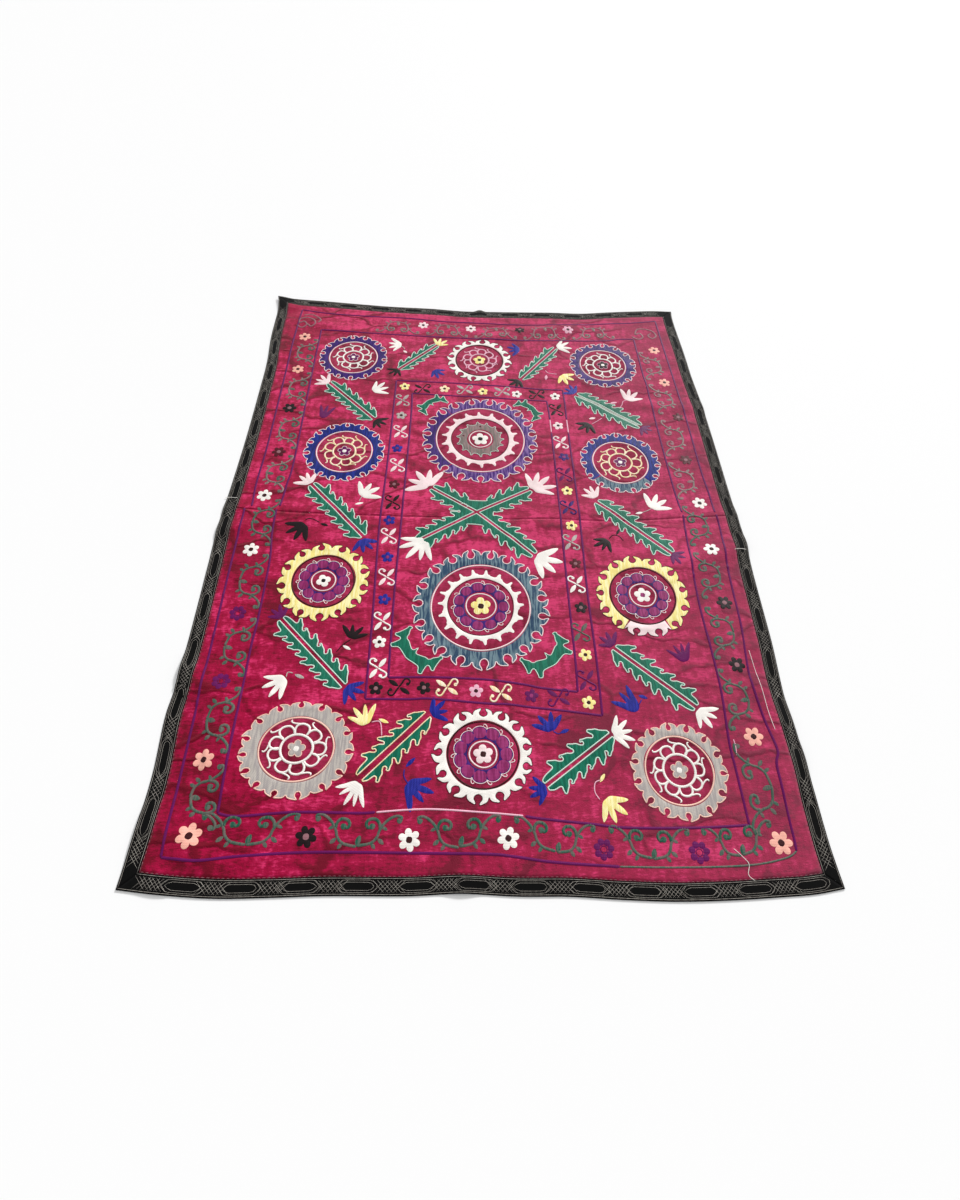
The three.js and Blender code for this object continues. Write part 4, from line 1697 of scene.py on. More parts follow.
    def _scallops(self, take: Taker) -> None:
        """A violet ring with a scalloped edge, a magenta petal in each scallop and a hook at each notch."""
        count, radius, depth = self.SCALLOPS, self.ring_radius, self.SCALLOP_DEPTH
        angles = ring_angles(count * self.SCALLOP_POINTS)
        lobes = np.abs(np.cos(count * angles / 2)) ** self.SCALLOP_ROUNDNESS
        outline = self._polar(angles, radius - depth + depth * lobes)
        self._ring(take, Thread.VIOLET, outline, self._circle(self.hub + 6, 5))
        edge = take(Thread.PINK_WHITE)
        edge.cord(outline, *self.SCALLOP_EDGE, closed=True)
        for k in range(count):
            notch = (k + 0.5) * FULL_TURN / count
            hook = [self._polar(notch + turn, radius + out) for turn, out in self.NOTCH_HOOK]
            edge.cord(curve_through(hook, steps=5), *self.NOTCH_CORD)
            middle = self._polar(k * FULL_TURN / count, mix(self.hub, radius, self.INNER_PETAL))
            size = self.INNER_PETAL_SIZE * (radius - self.hub)
            petal = blossom((0, 0), size, 4, math.pi / 4, 0.1) * (0.9, 1.04)
            turned = placed(petal, middle, k * FULL_TURN / count)
            take(Thread.MAGENTA).patch(turned, **self.PETAL_OVER)
        edge.cord(self._circle(self.hub, 6), *self.SCALLOP_HUB, closed=True)

    def _teeth(self, take: Taker) -> None:
        """A grey ring with a flamed edge and dark spots."""
        height = self.TOOTH_HEIGHT
        edge = self._hooks(self.ring_radius - height, height, self.TEETH, flame, 5)
        self._ring(take, Thread.ASH, edge.outline, self._circle(self.hub + 7, 7))
        take(Thread.MINT).cord(edge.outline, *self.TEETH_EDGE, closed=True)
        for k in range(self.SPOTS):
            radius = mix(self.hub, self.ring_radius, self.SPOT_PLACE)
            middle = self._polar((k + 0.5) * FULL_TURN / self.SPOTS, radius)
            spot = blossom(middle, self.SPOT_RADIUS, 2, k, 0.2)
            take(Thread.MAROON).patch(spot, **self.SPOT_OVER)
        take(Thread.PINK_WHITE).cord(self._circle(self.hub, 8), *self.TEETH_HUB, closed=True)

    def _hub(self, take: Taker) -> None:
        """The flower at the middle."""
        flower = self.flower
        outline = blossom(self.centre, flower.radius, flower.petals, flower.turn, self.FLOWER_DEPTH)
        take(flower.thread).patch(outline)
        if flower.edge:
            edge = beside(outline, 1.0, closed=True)
            take(flower.edge).cord(edge, *self.FLOWER_EDGE, closed=True, step=2.4)
        dot = blossom(self.centre, flower.radius * self.DOT_SIZE, 4, 0.6, 0.15)
        take(flower.dot).patch(dot, **DOT_OVER)


# ------------------------ leaves

# The pitch of a leaf's teeth, and how far the last tooth and the last point stay from its end.
TOOTH_PITCH = 31.0
LAST_TOOTH, LAST_POINT = 14, 10

# The width and height of the cord along a leaf's edge.
LEAF_EDGE = (4.2, 1.3)


def toothed(length: float, first: float, reach: float, rng: Random) -> list[Point]:
    """A leaf's toothed edge, from near its start to near its end.

    Args:
        length: The leaf's length.
        first: Where its first tooth stands.
        reach: How far its teeth reach from its middle.
        rng: Gives their unevenness.

    Returns:
        Points along the leaf and out from its middle.
    """
    count = max(int(round((length - first - LAST_TOOTH) / TOOTH_PITCH)), 1)
    pitch = (length - first - LAST_TOOTH) / (count - 0.15)
    knots: list[Point] = []
    for k in range(count):
        shift, lean = rng.uniform(-1.8, 1.8, 2)
        tall = reach * (0.86 if k % 2 else 1.0) * rng.uniform(0.94, 1.07)
        for along, out in tooth(0.5 * reach, tall, pitch):
            place = first + shift + k * pitch + along + lean * (out > 0.8 * reach)
            if place < length - LAST_POINT:
                knots.append((place, out))
    return knots


@dataclass(frozen=True)
class ToothedLeaf:
    """A long leaf with hooked teeth on both sides and a bare rib down its middle."""

    name: str
    start: Point
    end: Point
    reach: float = 41
    edge: Thread = Thread.MINT
    rib_gap: float = 10
    filled_rib: bool = False

    # Where the first tooth of each side stands, and the reach that the ends are drawn for.
    SIDES = ((1, 34.0), (-1, 21.0))
    DRAWN_REACH = 38

    # The cord of a filled rib, and how far its two rows lie from the middle.
    RIB, RIB_ROWS = (2.6, 0.9), (-1.9, 1.9)

    def work(self, basket: Workbasket) -> None:
        """Work both halves, their outlines and the rib."""
        length = math.hypot(self.end[0] - self.start[0], self.end[1] - self.start[1])
        angle = direction_of(self.start, self.end)
        rng = np.random.default_rng(letters_sum(self.name) * 7)
        fill, edge = basket.take("leaf", Thread.GREEN), basket.take("leaf", self.edge)
        rib = self.rib_gap / 2
        scale = self.reach / self.DRAWN_REACH
        for side, first in self.SIDES:
            knots = [(-1, rib + 1), (-2, 11 * scale), (3, 14.5 * scale), (0.45 * first, 17.5 * scale)]
            knots += toothed(length, first, self.reach, rng)
            knots += [(length - 6, 17 * scale), (length + 1, 12 * scale), (length + 2, rib + 1)]
            outer = curve_through(knots, steps=4)
            half = placed(outer * (1, side), self.start, angle)
            fill.patch(half, grain=angle)
            edge.cord(half, *LEAF_EDGE, closed=True)
        if self.filled_rib:
            for offset in self.RIB_ROWS:
                line = [(6, offset), (length * 0.5, offset + 0.6), (length - 6, offset)]
                edge.cord(placed(line, self.start, angle), *self.RIB)


@dataclass(frozen=True)
class CrossedLeaves:
    """Four toothed leaves that meet in a cross at the middle of the cloth."""

    centre: Point = (-20, 0)
    edge: Thread = Thread.MINT

    # Arms, anticlockwise, each with where its first tooth stands, inwards from the tip.
    ARMS = (((150, 96), 14.0), ((-161, 94), 20.0), ((-198, -114), 16.0), ((150, -158), 22.0))
    RIB = 5.0
    REACH = 43.0

    # How much of an arm is left without teeth, and the points round its tip.
    BARE = 34
    TIP = ((-1.0, 7.0), (-2.0, 13.0), (4.0, 17.0))

    def work(self, basket: Workbasket) -> None:
        """Work the four parts between the arms' ribs."""
        fill, edge = basket.take("leaf", Thread.GREEN), basket.take("leaf", self.edge)
        rng = np.random.default_rng(21)
        for (arm, first), (after, second) in zip(self.ARMS, self.ARMS[1:] + self.ARMS[:1]):
            outline = np.vstack([self._side(arm, first, 1, rng), self._side(after, second, -1, rng)[::-1]])
            ribs = [self._local(tip, [(0, self.RIB)], side) for tip, side in ((arm, 1), (after, -1))]
            part = np.vstack([[self._corner(arm, after)], ribs[0], curve_through(outline, steps=4), ribs[1]])
            fill.patch(part, grain=direction_of(self.centre, mix(np.array(arm), np.array(after), 0.5)))
            edge.cord(part, *LEAF_EDGE, closed=True)

    def _local(self, arm: Point, places: Sequence[Point], side: int) -> Points:
        """Points from distances inwards from an arm's tip and out from its middle, on one side."""
        tip, middle = np.array(arm, float), np.array(self.centre, float)
        length = math.hypot(*(tip - middle))
        outwards = np.array([(length - s, side * n) for s, n in places])
        return placed(outwards, self.centre, direction_of(middle, tip))

    def _corner(self, arm: Point, after: Point) -> Points:
        """Where the lines beside two neighbouring ribs meet, near the middle."""
        first, second = direction_of(self.centre, arm), direction_of(self.centre, after)
        turn = (second - first) % FULL_TURN
        return np.array(self.centre) + self.RIB / math.sin(turn / 2) * unit_vector(first + turn / 2)

    def _side(self, arm: Point, first: float, side: int, rng: Random) -> Points:
        """The toothed edge of one side of an arm, inwards from its tip."""
        length = math.hypot(arm[0] - self.centre[0], arm[1] - self.centre[1])
        return self._local(arm, [*self.TIP, *toothed(length - self.BARE, first, self.REACH, rng)], side)


# ------------------------ tulips


@dataclass(frozen=True)
class Tulip:
    """A tulip seen from the side: pointed petals that fan out from its base.

    Attributes:
        thread: Its thread.
        base: The place of its base.
        degrees: The way that it points.
        reach: The length of its petals.
        spread: The angle between its outer petals, in degrees.
        petals: How many it has.
    """

    thread: Thread
    base: Point
    degrees: float
    reach: float = 44
    spread: float = 110
    petals: int = 4

    # A petal's edge and tip, in shares of its length and of its half angle; where petals part; and
    # the shoulders beside the base, with how far they are turned out from the outer petals.
    PETAL = ((0.62, -1.0), (0.82, -0.55), (1.0, 0.0), (0.82, 0.55), (0.62, 1.0))
    PARTING, BASE = 0.46, 0.05
    SHOULDER, SHOULDER_TURN = 0.24, 0.75
    SLIM, SLIMMEST = 0.34, 0.24
    CROWN = 1.25

    def outline(self) -> Points:
        """Its outline, round the base and out to each tip."""
        base = np.array(self.base, float)
        rng = np.random.default_rng(int(abs(self.base[0] * 7 + self.base[1])))
        middle, half = math.radians(self.degrees), math.radians(self.spread) / 2
        angles = np.linspace(middle - half, middle + half, self.petals)
        angles[1:-1] += rng.uniform(-0.06, 0.06, self.petals - 2)
        step = 2 * half / (self.petals - 1)
        slim = min(self.SLIM * step, self.SLIMMEST)
        shoulder = self.SHOULDER * self.reach
        knots = [base - self.BASE * self.reach * unit_vector(middle)]
        knots.append(base + shoulder * unit_vector(middle - half - self.SHOULDER_TURN))
        for k, angle in enumerate(angles):
            length = self.reach * rng.uniform(0.94, 1.12)
            for share, turn in self.PETAL:
                knots.append(base + share * length * unit_vector(angle + turn * slim))
            if k < self.petals - 1:
                parting = unit_vector(mix(angle, angles[k + 1], 0.5))
                knots.append(base + self.PARTING * self.reach * parting)
        knots.append(base + shoulder * unit_vector(middle + half + self.SHOULDER_TURN))
        return curve_through(knots, closed=True, steps=4)

    def work(self, basket: Workbasket) -> None:
        """Work the tulip."""
        grain = math.radians(self.degrees)
        basket.take("tulip", self.thread).patch(self.outline(), grain=grain, crown=self.CROWN)


@dataclass(frozen=True)
class Stem:
    """A thin stalk with a bud or a leaf at its end."""

    thread: Thread
    path: tuple[Point, ...]
    bud: tuple[Point, Point, float] | None = None
    bud_thread: Thread | None = None

    CORD = (3.4, 1.0)

    def work(self, basket: Workbasket) -> None:
        """Work the stalk and the bud."""
        basket.take("tulip", self.thread).cord(curve_through(self.path), *self.CORD)
        if self.bud:
            start, end, width = self.bud
            thread = self.bud_thread or self.thread
            basket.take("tulip", thread).patch(leaf_shape(start, end, width))


# ------------------------ borders and small motifs


@dataclass(frozen=True)
class SmallFlower:
    """A small flower of the borders and the inner frame. A purple one is worked loosely."""

    centre: Point
    thread: Thread
    radius: float
    dot: Thread = Thread.BROWN
    petals: int = 6

    # A loose flower's petals, with their place and size, and the circle in the middle with its cord.
    LOOSE_PETALS, LOOSE_PLACE, LOOSE_SIZE = 7, 0.66, 0.32
    CIRCLE, CIRCLE_STEP, CIRCLE_CORD = 0.3, 3.0, (2.4, 0.9)

    def work(self, basket: Workbasket) -> None:
        """Work the petals and the dot."""
        turn = (self.centre[0] * 0.37 + self.centre[1] * 0.73) % 1.0
        needle = basket.take("small", self.thread)
        if self.thread is Thread.PURPLE and self.petals == 6:
            for k in range(self.LOOSE_PETALS):
                way = unit_vector(turn + k * FULL_TURN / self.LOOSE_PETALS)
                middle = self.centre + self.LOOSE_PLACE * self.radius * way
                needle.patch(blossom(middle, self.radius * self.LOOSE_SIZE, 3, k, 0.12))
            inner = self.CIRCLE * self.radius
            angles = ring_angles(max(int(FULL_TURN * inner / self.CIRCLE_STEP), 8))
            needle.cord(polar(angles, inner, self.centre), *self.CIRCLE_CORD, closed=True, step=2.0)
            return
        needle.patch(blossom(self.centre, self.radius, self.petals, turn, 0.44))
        dot = blossom(self.centre, self.radius * 0.3, 4, turn, 0.1)
        basket.take("small", self.dot).patch(dot, **DOT_OVER)


@dataclass(frozen=True)
class CrossMotif:
    """A small motif of the inner frame: a hooked S crossed by a bar that ends in two leaves."""

    centre: Point
    thread: Thread
    angle: float = 0.0

    # The S and its cord, the ball at its end, and the leaf from root to tip with its width.
    CURVE = (*arc((19, 15), 8.6, -70, 160, 6), (6, 9), (0, 0))
    CORD = (5.8, 1.1)
    BALL, BALL_RADIUS = (22, 8), 4.8
    ROOT, TIP, LEAF_WIDTH = (2, -2), (29, -20), 12.5

    def work(self, basket: Workbasket) -> None:
        """Work the S, the bar and the leaves."""
        needle = basket.take("small", self.thread)
        turn = math.radians(self.angle)
        for side in (1, -1):
            curve = curve_through(np.array(self.CURVE) * side)
            needle.cord(placed(curve, self.centre, turn), *self.CORD)
            ends = np.array([self.BALL, self.ROOT, self.TIP]) * side
            ball, root, tip = placed(ends, self.centre, turn)
            needle.patch(blossom(ball, self.BALL_RADIUS, 3, turn, 0.1))
            needle.patch(leaf_shape(root, tip, self.LEAF_WIDTH))


@dataclass(frozen=True)
class VineBorder:
    """A stem that winds over a row of flowers, with curls between them."""

    flowers: tuple[Point, ...]
    outward: Point
    stem: Thread
    curls: Thread
    depth: float = 54.0

    # The width and height of its cord and of its curls, and the sizes of the balls at their ends.
    CORD, CURL_CORD = (8.0, 1.0), (9.0, 1.15)
    STEM_BALL, CURL_BALL = 6.8, 7.2

    # Shares of the way between two flowers, and depths out from the inner frame line.
    STEM = (
        *((0.1, 13), (0.08, 6), (0.13, 3), (0.19, 9), (0.25, 22)),
        *((0.29, 38), (0.31, 52), (0.37, 65), (0.5, 71)),
    )
    CURL = ((0.285, 34), (0.29, 22), (0.33, 12), (0.39, 13), (0.42, 22), (0.4, 31), (0.36, 28))
    TAILS = (((0.3, 54), (0.24, 66), 10), ((0.36, 64), (0.32, 77), 9), ((0.27, 28), (0.21, 35), 8))
    MIDDLE_TAIL = ((0.5, 72), (0.47, 48))

    # How unevenly it winds, along the way and across it.
    SWAY, SWAYS = 0.012, (1, 160)

    def work(self, basket: Workbasket) -> None:
        """Work the stem, its curls and its tails between each two flowers."""
        stem, curls = basket.take("vine", self.stem), basket.take("vine", self.curls)
        outward = np.array(self.outward, float)
        rng = np.random.default_rng(int(abs(self.flowers[0][0])))
        for flower, after in zip(self.flowers, self.flowers[1:]):
            start, end = np.array(flower) - self.depth * outward, np.array(after) - self.depth * outward
            for is_mirrored in (False, True):
                sway = rng.uniform(-self.SWAY, self.SWAY, 2) * self.SWAYS

                def local(places: Sequence[Point], sway: Points = sway) -> Points:
                    """Points from shares of the way and depths, swayed."""
                    at = np.array(places, float) + sway * np.sin(np.array(places)[:, :1] * math.pi)
                    share = 1 - at[:, :1] if is_mirrored else at[:, :1]
                    return start + (end - start) * share + outward * at[:, 1:]

                line = curve_through(local(self.STEM))
                stem.cord(line, *self.CORD)
                curls.patch(blossom(line[0], self.STEM_BALL, 3, 0.4, 0.15))
                curl = curve_through(local(self.CURL))
                curls.cord(curl, *self.CURL_CORD)
                curls.patch(blossom(curl[-1], self.CURL_BALL, 3, 0.4, 0.15))
                for root, tip, width in self.TAILS:
                    stem.patch(leaf_shape(*local([root, tip]), width))
            curls.patch(leaf_shape(*local(self.MIDDLE_TAIL), 13))


@dataclass(frozen=True)
class Scroll:
    """A row of stitches along a free curve."""

    thread: Thread
    path: tuple[Point, ...]
    width: float = 8.0
    family: str = "vine"

    HEIGHT = 1.05

    def work(self, basket: Workbasket) -> None:
        """Work it."""
        basket.take(self.family, self.thread).cord(curve_through(self.path), self.width, self.HEIGHT)


@dataclass(frozen=True)
class Sprig:
    """A leaf bent round a corner of the inner field, toothed on its outer side and with a spur inside."""

    at: Point
    angle: float
    scale: float = 1.0

    LENGTH = 184.0
    BEND = 104.0
    EDGE = (3.4, 1.3)

    def work(self, basket: Workbasket) -> None:
        """Work its filling and its outline."""
        half = 0.5 * self.LENGTH
        spur = arc((0.55 * half, -32), 19, 120, 40, 4)
        inside = [(0, -27), (4, -16), (12, -11), *spur, (half - 8, -24), (half - 1, -29)]
        tip = arc((half - 1, -22), 6, -50, 100, 4)
        near = arc((half - 22, 13), 4, -30, 150, 4)
        far = arc((half - 47, 29), 5, -30, 150, 4)
        valley, root = [(half - 32, 5), (half - 39, 7)], [(half - 57, 17), (half - 72, 14)]
        side = [*inside, *tip, (half - 13, -2), *near, *valley, *far, *root]
        whole = np.vstack([side, (0, 16), mirrored(side)[::-1][:-1]])
        turn = whole[:, 0] / self.BEND
        radius = self.BEND + whole[:, 1]
        bent = np.column_stack([np.sin(turn) * radius, self.BEND - np.cos(turn) * radius])
        outline = curve_through(bent, closed=True, steps=4)
        outline = placed(outline, self.at, math.radians(self.angle), self.scale)
        basket.take("leaf", Thread.GREEN).patch(outline)
        basket.take("leaf", Thread.MINT).cord(outline, *self.EDGE, closed=True)


# ------------------------ the stage


@dataclass(frozen=True)
class Stage:
    """A pale plain floor, soft light and the camera."""

    camera_at: tuple[float, float, float] = (-0.083, -1.1925, 1.468)
    pitch: float = 58.969
    roll: float = -4.587
    yaw: float = -4.402
    lens: float = 17.978

    FLOOR_SIZE, FLOOR_Z = 14, -0.0005
    FLOOR = {"Base Color": (0.93, 0.93, 0.93, 1), "Roughness": 0.9, "Specular IOR Level": 0.1}
    SKY, SKY_STRENGTH = (1, 1, 1, 1), 0.56
    SENSOR = 36

    # Name, place, width in degrees and power.
    LAMPS = (("key", (2.0, 3.4, 1.7), 9, 3.4), ("fill", (-2.5, 1.0, 3.0), 40, 0.3))

    def build(self) -> None:
        """Set up the floor, the lights and the camera."""
        self._floor()
        self._lights()
        self._camera()

    def _floor(self) -> None:
        """The floor."""
        bpy.ops.mesh.primitive_plane_add(size=self.FLOOR_SIZE, location=(0, 0, self.FLOOR_Z))
        floor = bpy.context.object
        floor.name = "floor"
        shader = Shader("floor")
        shader.surface(self.FLOOR)
        floor.data.materials.append(shader.material)
        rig.stage(floor)

    def _lights(self) -> None:
        """A white sky and two soft lamps."""
        world = bpy.data.worlds.new("sky")
        world.use_nodes = True
        background = world.node_tree.nodes["Background"]
        background.inputs["Color"].default_value = self.SKY
        background.inputs["Strength"].default_value = self.SKY_STRENGTH
        bpy.context.scene.world = world
        for name, place, width, power in self.LAMPS:
            bpy.ops.object.light_add(type="SUN", location=place)
            lamp = bpy.context.object
            lamp.name = name
            lamp.data.angle = math.radians(width)
            lamp.data.energy = power
            lamp.rotation_euler = (-Vector(place)).to_track_quat("-Z", "Y").to_euler()
            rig.stage(lamp)
        bpy.context.scene.view_settings.view_transform = "Standard"

    def _camera(self) -> None:
        """The camera, held by hand in front of the near edge."""
        pitch, roll, yaw = (math.radians(angle) for angle in (self.pitch, self.roll, self.yaw))
        level = np.array([1.0, 0.0, 0.0])
        down = np.array([0.0, -math.sin(pitch), -math.cos(pitch)])
        ahead = np.array([0.0, math.cos(pitch), -math.sin(pitch)])
        right = math.cos(roll) * level + math.sin(roll) * down
        below = -math.sin(roll) * level + math.cos(roll) * down
        turn = np.array(Matrix.Rotation(yaw, 3, "Z"))
        axes = turn @ np.column_stack([right, -below, -ahead])
        bpy.ops.object.camera_add(location=self.camera_at)
        camera = bpy.context.object
        camera.rotation_euler = Matrix(axes.tolist()).to_euler()
        camera.data.lens = self.lens
        camera.data.sensor_width = self.SENSOR
        bpy.context.scene.camera = camera
        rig.stage(camera)


# ------------------------ what is worked where

T = Thread
STAR_FLOWER = Flower(T.PURPLE, T.WHITE, edge=T.PINK_WHITE)
CORNER_FLOWER = Flower(T.GREY, T.WHITE, edge=T.PEACH, turn=0.2)

# The roundels' fields are explained in their class.
ROUNDELS = (
    Roundel("far left", (-475, 725), 128, 88, T.VIOLET, T.PINK_WHITE, Ring.PETALS, 70, 35, STAR_FLOWER,
            units=14),
    Roundel("far middle", (-6, 730), 121, 87, T.WHITE, T.BROWN, Ring.PETALS, 68, 34,
            Flower(T.YELLOW, T.BLACK), T.PINK, 12),
    Roundel("far right", (460, 720), 128, 86, T.VIOLET, T.PINK_WHITE, Ring.PETALS, 70, 35,
            Flower(T.BLACK, T.WHITE, edge=T.PINK), units=14),
    Roundel("left", (-457, 247), 134, 91, T.NAVY, T.PINK_WHITE, Ring.PETALS, 71, 36, STAR_FLOWER,
            T.CREAM, 15),
    Roundel("right", (463, 226), 137, 93, T.NAVY, T.PINK_WHITE, Ring.PETALS, 76, 38, STAR_FLOWER,
            T.CREAM, 15, sector=(T.TEAL, 219, 317)),
    Roundel("near left of middle", (-462, -263), 132, 88, T.YELLOW, T.BROWN, Ring.SCALLOPS, 73, 34,
            Flower(T.WHITE, T.BLACK, 21, 4)),
    Roundel("near right of middle", (461, -296), 138, 95, T.YELLOW, T.BROWN, Ring.SCALLOPS, 77, 38,
            Flower(T.WHITE, T.MAGENTA, 25, 5), sector=(T.PINK_WHITE, 238, 301)),
    Roundel("near left", (-467, -753), 140, 91, T.GREY, T.PEACH, Ring.PETALS, 77, 39, CORNER_FLOWER,
            units=15, squash=0.88),
    Roundel("near middle", (-8, -765), 126, 88, T.WHITE, T.BROWN, Ring.SCALLOPS, 75, 34,
            Flower(T.PINK_WHITE, T.BROWN, 25), squash=0.96),
    Roundel("near right", (477, -803), 122, 85, T.GREY, T.PEACH, Ring.PETALS, 71, 39, CORNER_FLOWER,
            units=14),
    Roundel("far centre", (-6, 318), 200, 149, T.LILAC, T.PINK_WHITE, Ring.TEETH, 82, 38,
            Flower(T.WHITE, T.BLACK, 28), T.PINK_WHITE, 19, sector=(T.VIOLET, 130, 230), flame=(99, 129)),
    Roundel("near centre", (-10, -341), 197, 140, T.TEAL, T.PINK_WHITE, Ring.SCALLOPS, 80, 42,
            Flower(T.YELLOW, T.BROWN, 29), T.WHITE, 19, flame=(95, 122)),
)  # fmt: skip

# Leaves from start to end, with their reach. Their teeth lean towards the start.
LEAVES = (
    ToothedLeaf("A", (-168, 808), (-300, 668), 32),
    ToothedLeaf("B", (285, 812), (148, 632), 32),
    ToothedLeaf("C", (-545, 580), (-375, 405)),
    ToothedLeaf("D", (-543, 97), (-365, -100)),
    ToothedLeaf("E", (-560, -392), (-372, -585)),
    ToothedLeaf("F", (555, 400), (345, 550), filled_rib=True),
    ToothedLeaf("G", (572, -145), (365, 50), 42),
    ToothedLeaf("H", (550, -637), (357, -470), 42),
    ToothedLeaf("I", (-305, -822), (-150, -665), 41, T.CREAM, 15),
    ToothedLeaf("J", (145, -840), (315, -715), 44),
)

# Thread, base, direction in degrees, reach, spread in degrees and number of petals.
TULIPS = (
    (T.BLACK, (-306, 662), 232, 38), (T.YELLOW, (-163, 812), 60, 40), (T.BLACK, (138, 622), 232, 42),
    (T.WHITE, (296, 820), 15, 50, 100), (T.PINK_WHITE, (-552, 580), 140, 46, 100),
    (T.BLACK, (-366, 396), 318, 42), (T.PINK_WHITE, (-552, 104), 125, 48),
    (T.BLUE, (-366, -116), 297, 48, 114), (T.PURPLE, (-562, -384), 125, 40),
    (T.BLUE, (-362, -592), 325, 46), (T.BLUE, (338, 562), 130, 44), (T.PURPLE, (560, 394), 318, 38),
    (T.PINK_WHITE, (362, 72), 122, 48, 100), (T.PURPLE, (574, -150), 318, 40),
    (T.PURPLE, (352, -460), 125, 42), (T.WHITE, (556, -648), 315, 50, 100),
    (T.WHITE, (-308, -838), 238, 52, 100, 5), (T.BLUE, (-138, -660), 30, 44),
    (T.BLUE, (142, -850), 190, 44), (T.WHITE, (326, -712), 15, 52, 124, 5),
    (T.PINK_WHITE, (-175, 105), 124, 72, 144, 5), (T.PINK_WHITE, (165, 100), 46, 72, 128, 5),
    (T.WHITE, (-180, -115), 231, 76, 116, 5), (T.WHITE, (160, -170), 334, 74, 108, 4),
    (T.WHITE, (-304, 806), 185, 50, 100), (T.WHITE, (-385, 545), 35, 54, 96),
    (T.BLUE, (-172, 664), 310, 42), (T.BLUE, (146, 800), 182, 44), (T.YELLOW, (300, 656), 310, 48, 120),
    (T.PINK_WHITE, (530, 530), 60, 60, 98), (T.BLACK, (375, 405), 235, 48, 112),
    (T.PURPLE, (-548, 404), 78, 60, 50, 3), (T.WHITE, (-381, 58), 49, 56),
    (T.BLACK, (-545, -62), 229, 62, 106), (T.BLACK, (-364, -446), 70, 44),
    (T.WHITE, (540, 30), 52, 60, 106), (T.BLACK, (380, -101), 227, 46, 104),
    (T.PURPLE, (548, -504), 108, 56, 76, 4), (T.WHITE, (-525, -568), 221, 58, 92),
    (T.BLUE, (394, -646), 134, 66, 56, 3), (T.YELLOW, (-304, -688), 114, 52, 92),
    (T.BLUE, (-189, -838), 325, 60, 96), (T.BLUE, (166, -702), 110, 48),
    (T.YELLOW, (288, -874), 308, 54, 104),
)  # fmt: skip

# Stalks, each with its path, its bud from root to tip with its width, and the bud's thread.
STEMS = (
    Stem(T.GREY, ((-304, 800), (-292, 790), (-288, 778)), ((-293, 772), (-278, 760), 10), T.PINK_WHITE),
    Stem(T.PINK, ((282, 663), (250, 668), (240, 682)), ((242, 656), (238, 630), 11)),
    Stem(T.PINK, ((525, 530), (510, 520), (503, 500), (487, 478)), ((463, 510), (488, 515), 9)),
    Stem(T.PINK, ((385, 405), (400, 415), (425, 435)), ((378, 430), (402, 436), 10), T.PINK_WHITE),
    Stem(T.GREY, ((-380, 60), (-386, 42), (-388, 32)), ((-400, 20), (-374, 28), 9), T.WHITE),
    Stem(T.BLACK, ((-545, -45), (-535, -38), (-520, -40), (-500, -52)), ((-497, -56), (-473, -64), 10)),
    Stem(T.BLACK, ((-364, -450), (-385, -468), (-400, -490)), ((-384, -470), (-362, -482), 9), T.WHITE),
    Stem(T.GREY, ((540, 28), (520, 16), (505, 9)), ((507, 10), (482, 4), 9), T.WHITE),
    Stem(T.BLACK, ((387, -94), (401, -80), (419, -84), (430, -101)), ((412, -78), (424, -56), 9)),
    Stem(T.GREY, ((-521, -564), (-519, -550), (-505, -552)), ((-500, -556), (-474, -566), 10)),
    Stem(T.BLUE, ((394, -640), (404, -628), (410, -618)), ((403, -607), (427, -615), 10)),
    Stem(T.PINK, ((-289, -684), (-268, -684), (-261, -720)), ((-272, -676), (-246, -686), 9), T.YELLOW),
    Stem(T.BLUE, ((-189, -838), (-200, -820), (-200, -802)), ((-197, -797), (-175, -774), 10)),
    Stem(T.BLUE, ((170, -704), (182, -712), (192, -708)), ((188, -710), (212, -700), 10)),
    Stem(T.PINK, ((271, -874), (261, -856), (264, -834), (279, -827)), ((276, -832), (290, -812), 9),
         T.YELLOW),
    Stem(T.PINK, ((630, -765), (632, -745), (630, -725))),
)  # fmt: skip

# Flowers of the outer border, from the far end of each side or from its left.
LEFT_BORDER = (
    ((-669, 836), T.SALMON, 23), ((-668, 649), T.SALMON, 22), ((-667, 445), T.BLACK, 24),
    ((-670, 237), T.MAROON, 23), ((-684, 50), T.WHITE, 24), ((-687, -158), T.WHITE, 24),
    ((-683, -374), T.PURPLE, 24), ((-684, -578), T.PURPLE, 24), ((-683, -782), T.SALMON, 26),
    ((-677, -955), T.SALMON, 29),
)  # fmt: skip
NEAR_BORDER = (
    ((-415, -957), T.BLACK, 25), ((-180, -964), T.WHITE, 26), ((48, -961), T.WHITE, 26),
    ((268, -985), T.PURPLE, 25), ((490, -992), T.PURPLE, 26), ((688, -972), T.SALMON, 28),
)  # fmt: skip
RIGHT_BORDER = (
    ((672, 818), T.SALMON, 22), ((681, 632), T.SALMON, 22), ((700, 450), T.MAROON, 21),
    ((689, 244), T.MAROON, 22), ((699, 55), T.WHITE, 24), ((697, -130), T.WHITE, 24),
    ((697, -319), T.BLACK, 24), ((688, -516), T.BLACK, 24), ((685, -717), T.SALMON, 26),
)  # fmt: skip
FAR_BORDER = (
    ((-224, 929), T.PINK_WHITE, 21), ((-38, 916), T.PINK_WHITE, 22), ((153, 912), T.BLACK, 21),
    ((344, 923), T.PINK, 22),
)  # fmt: skip

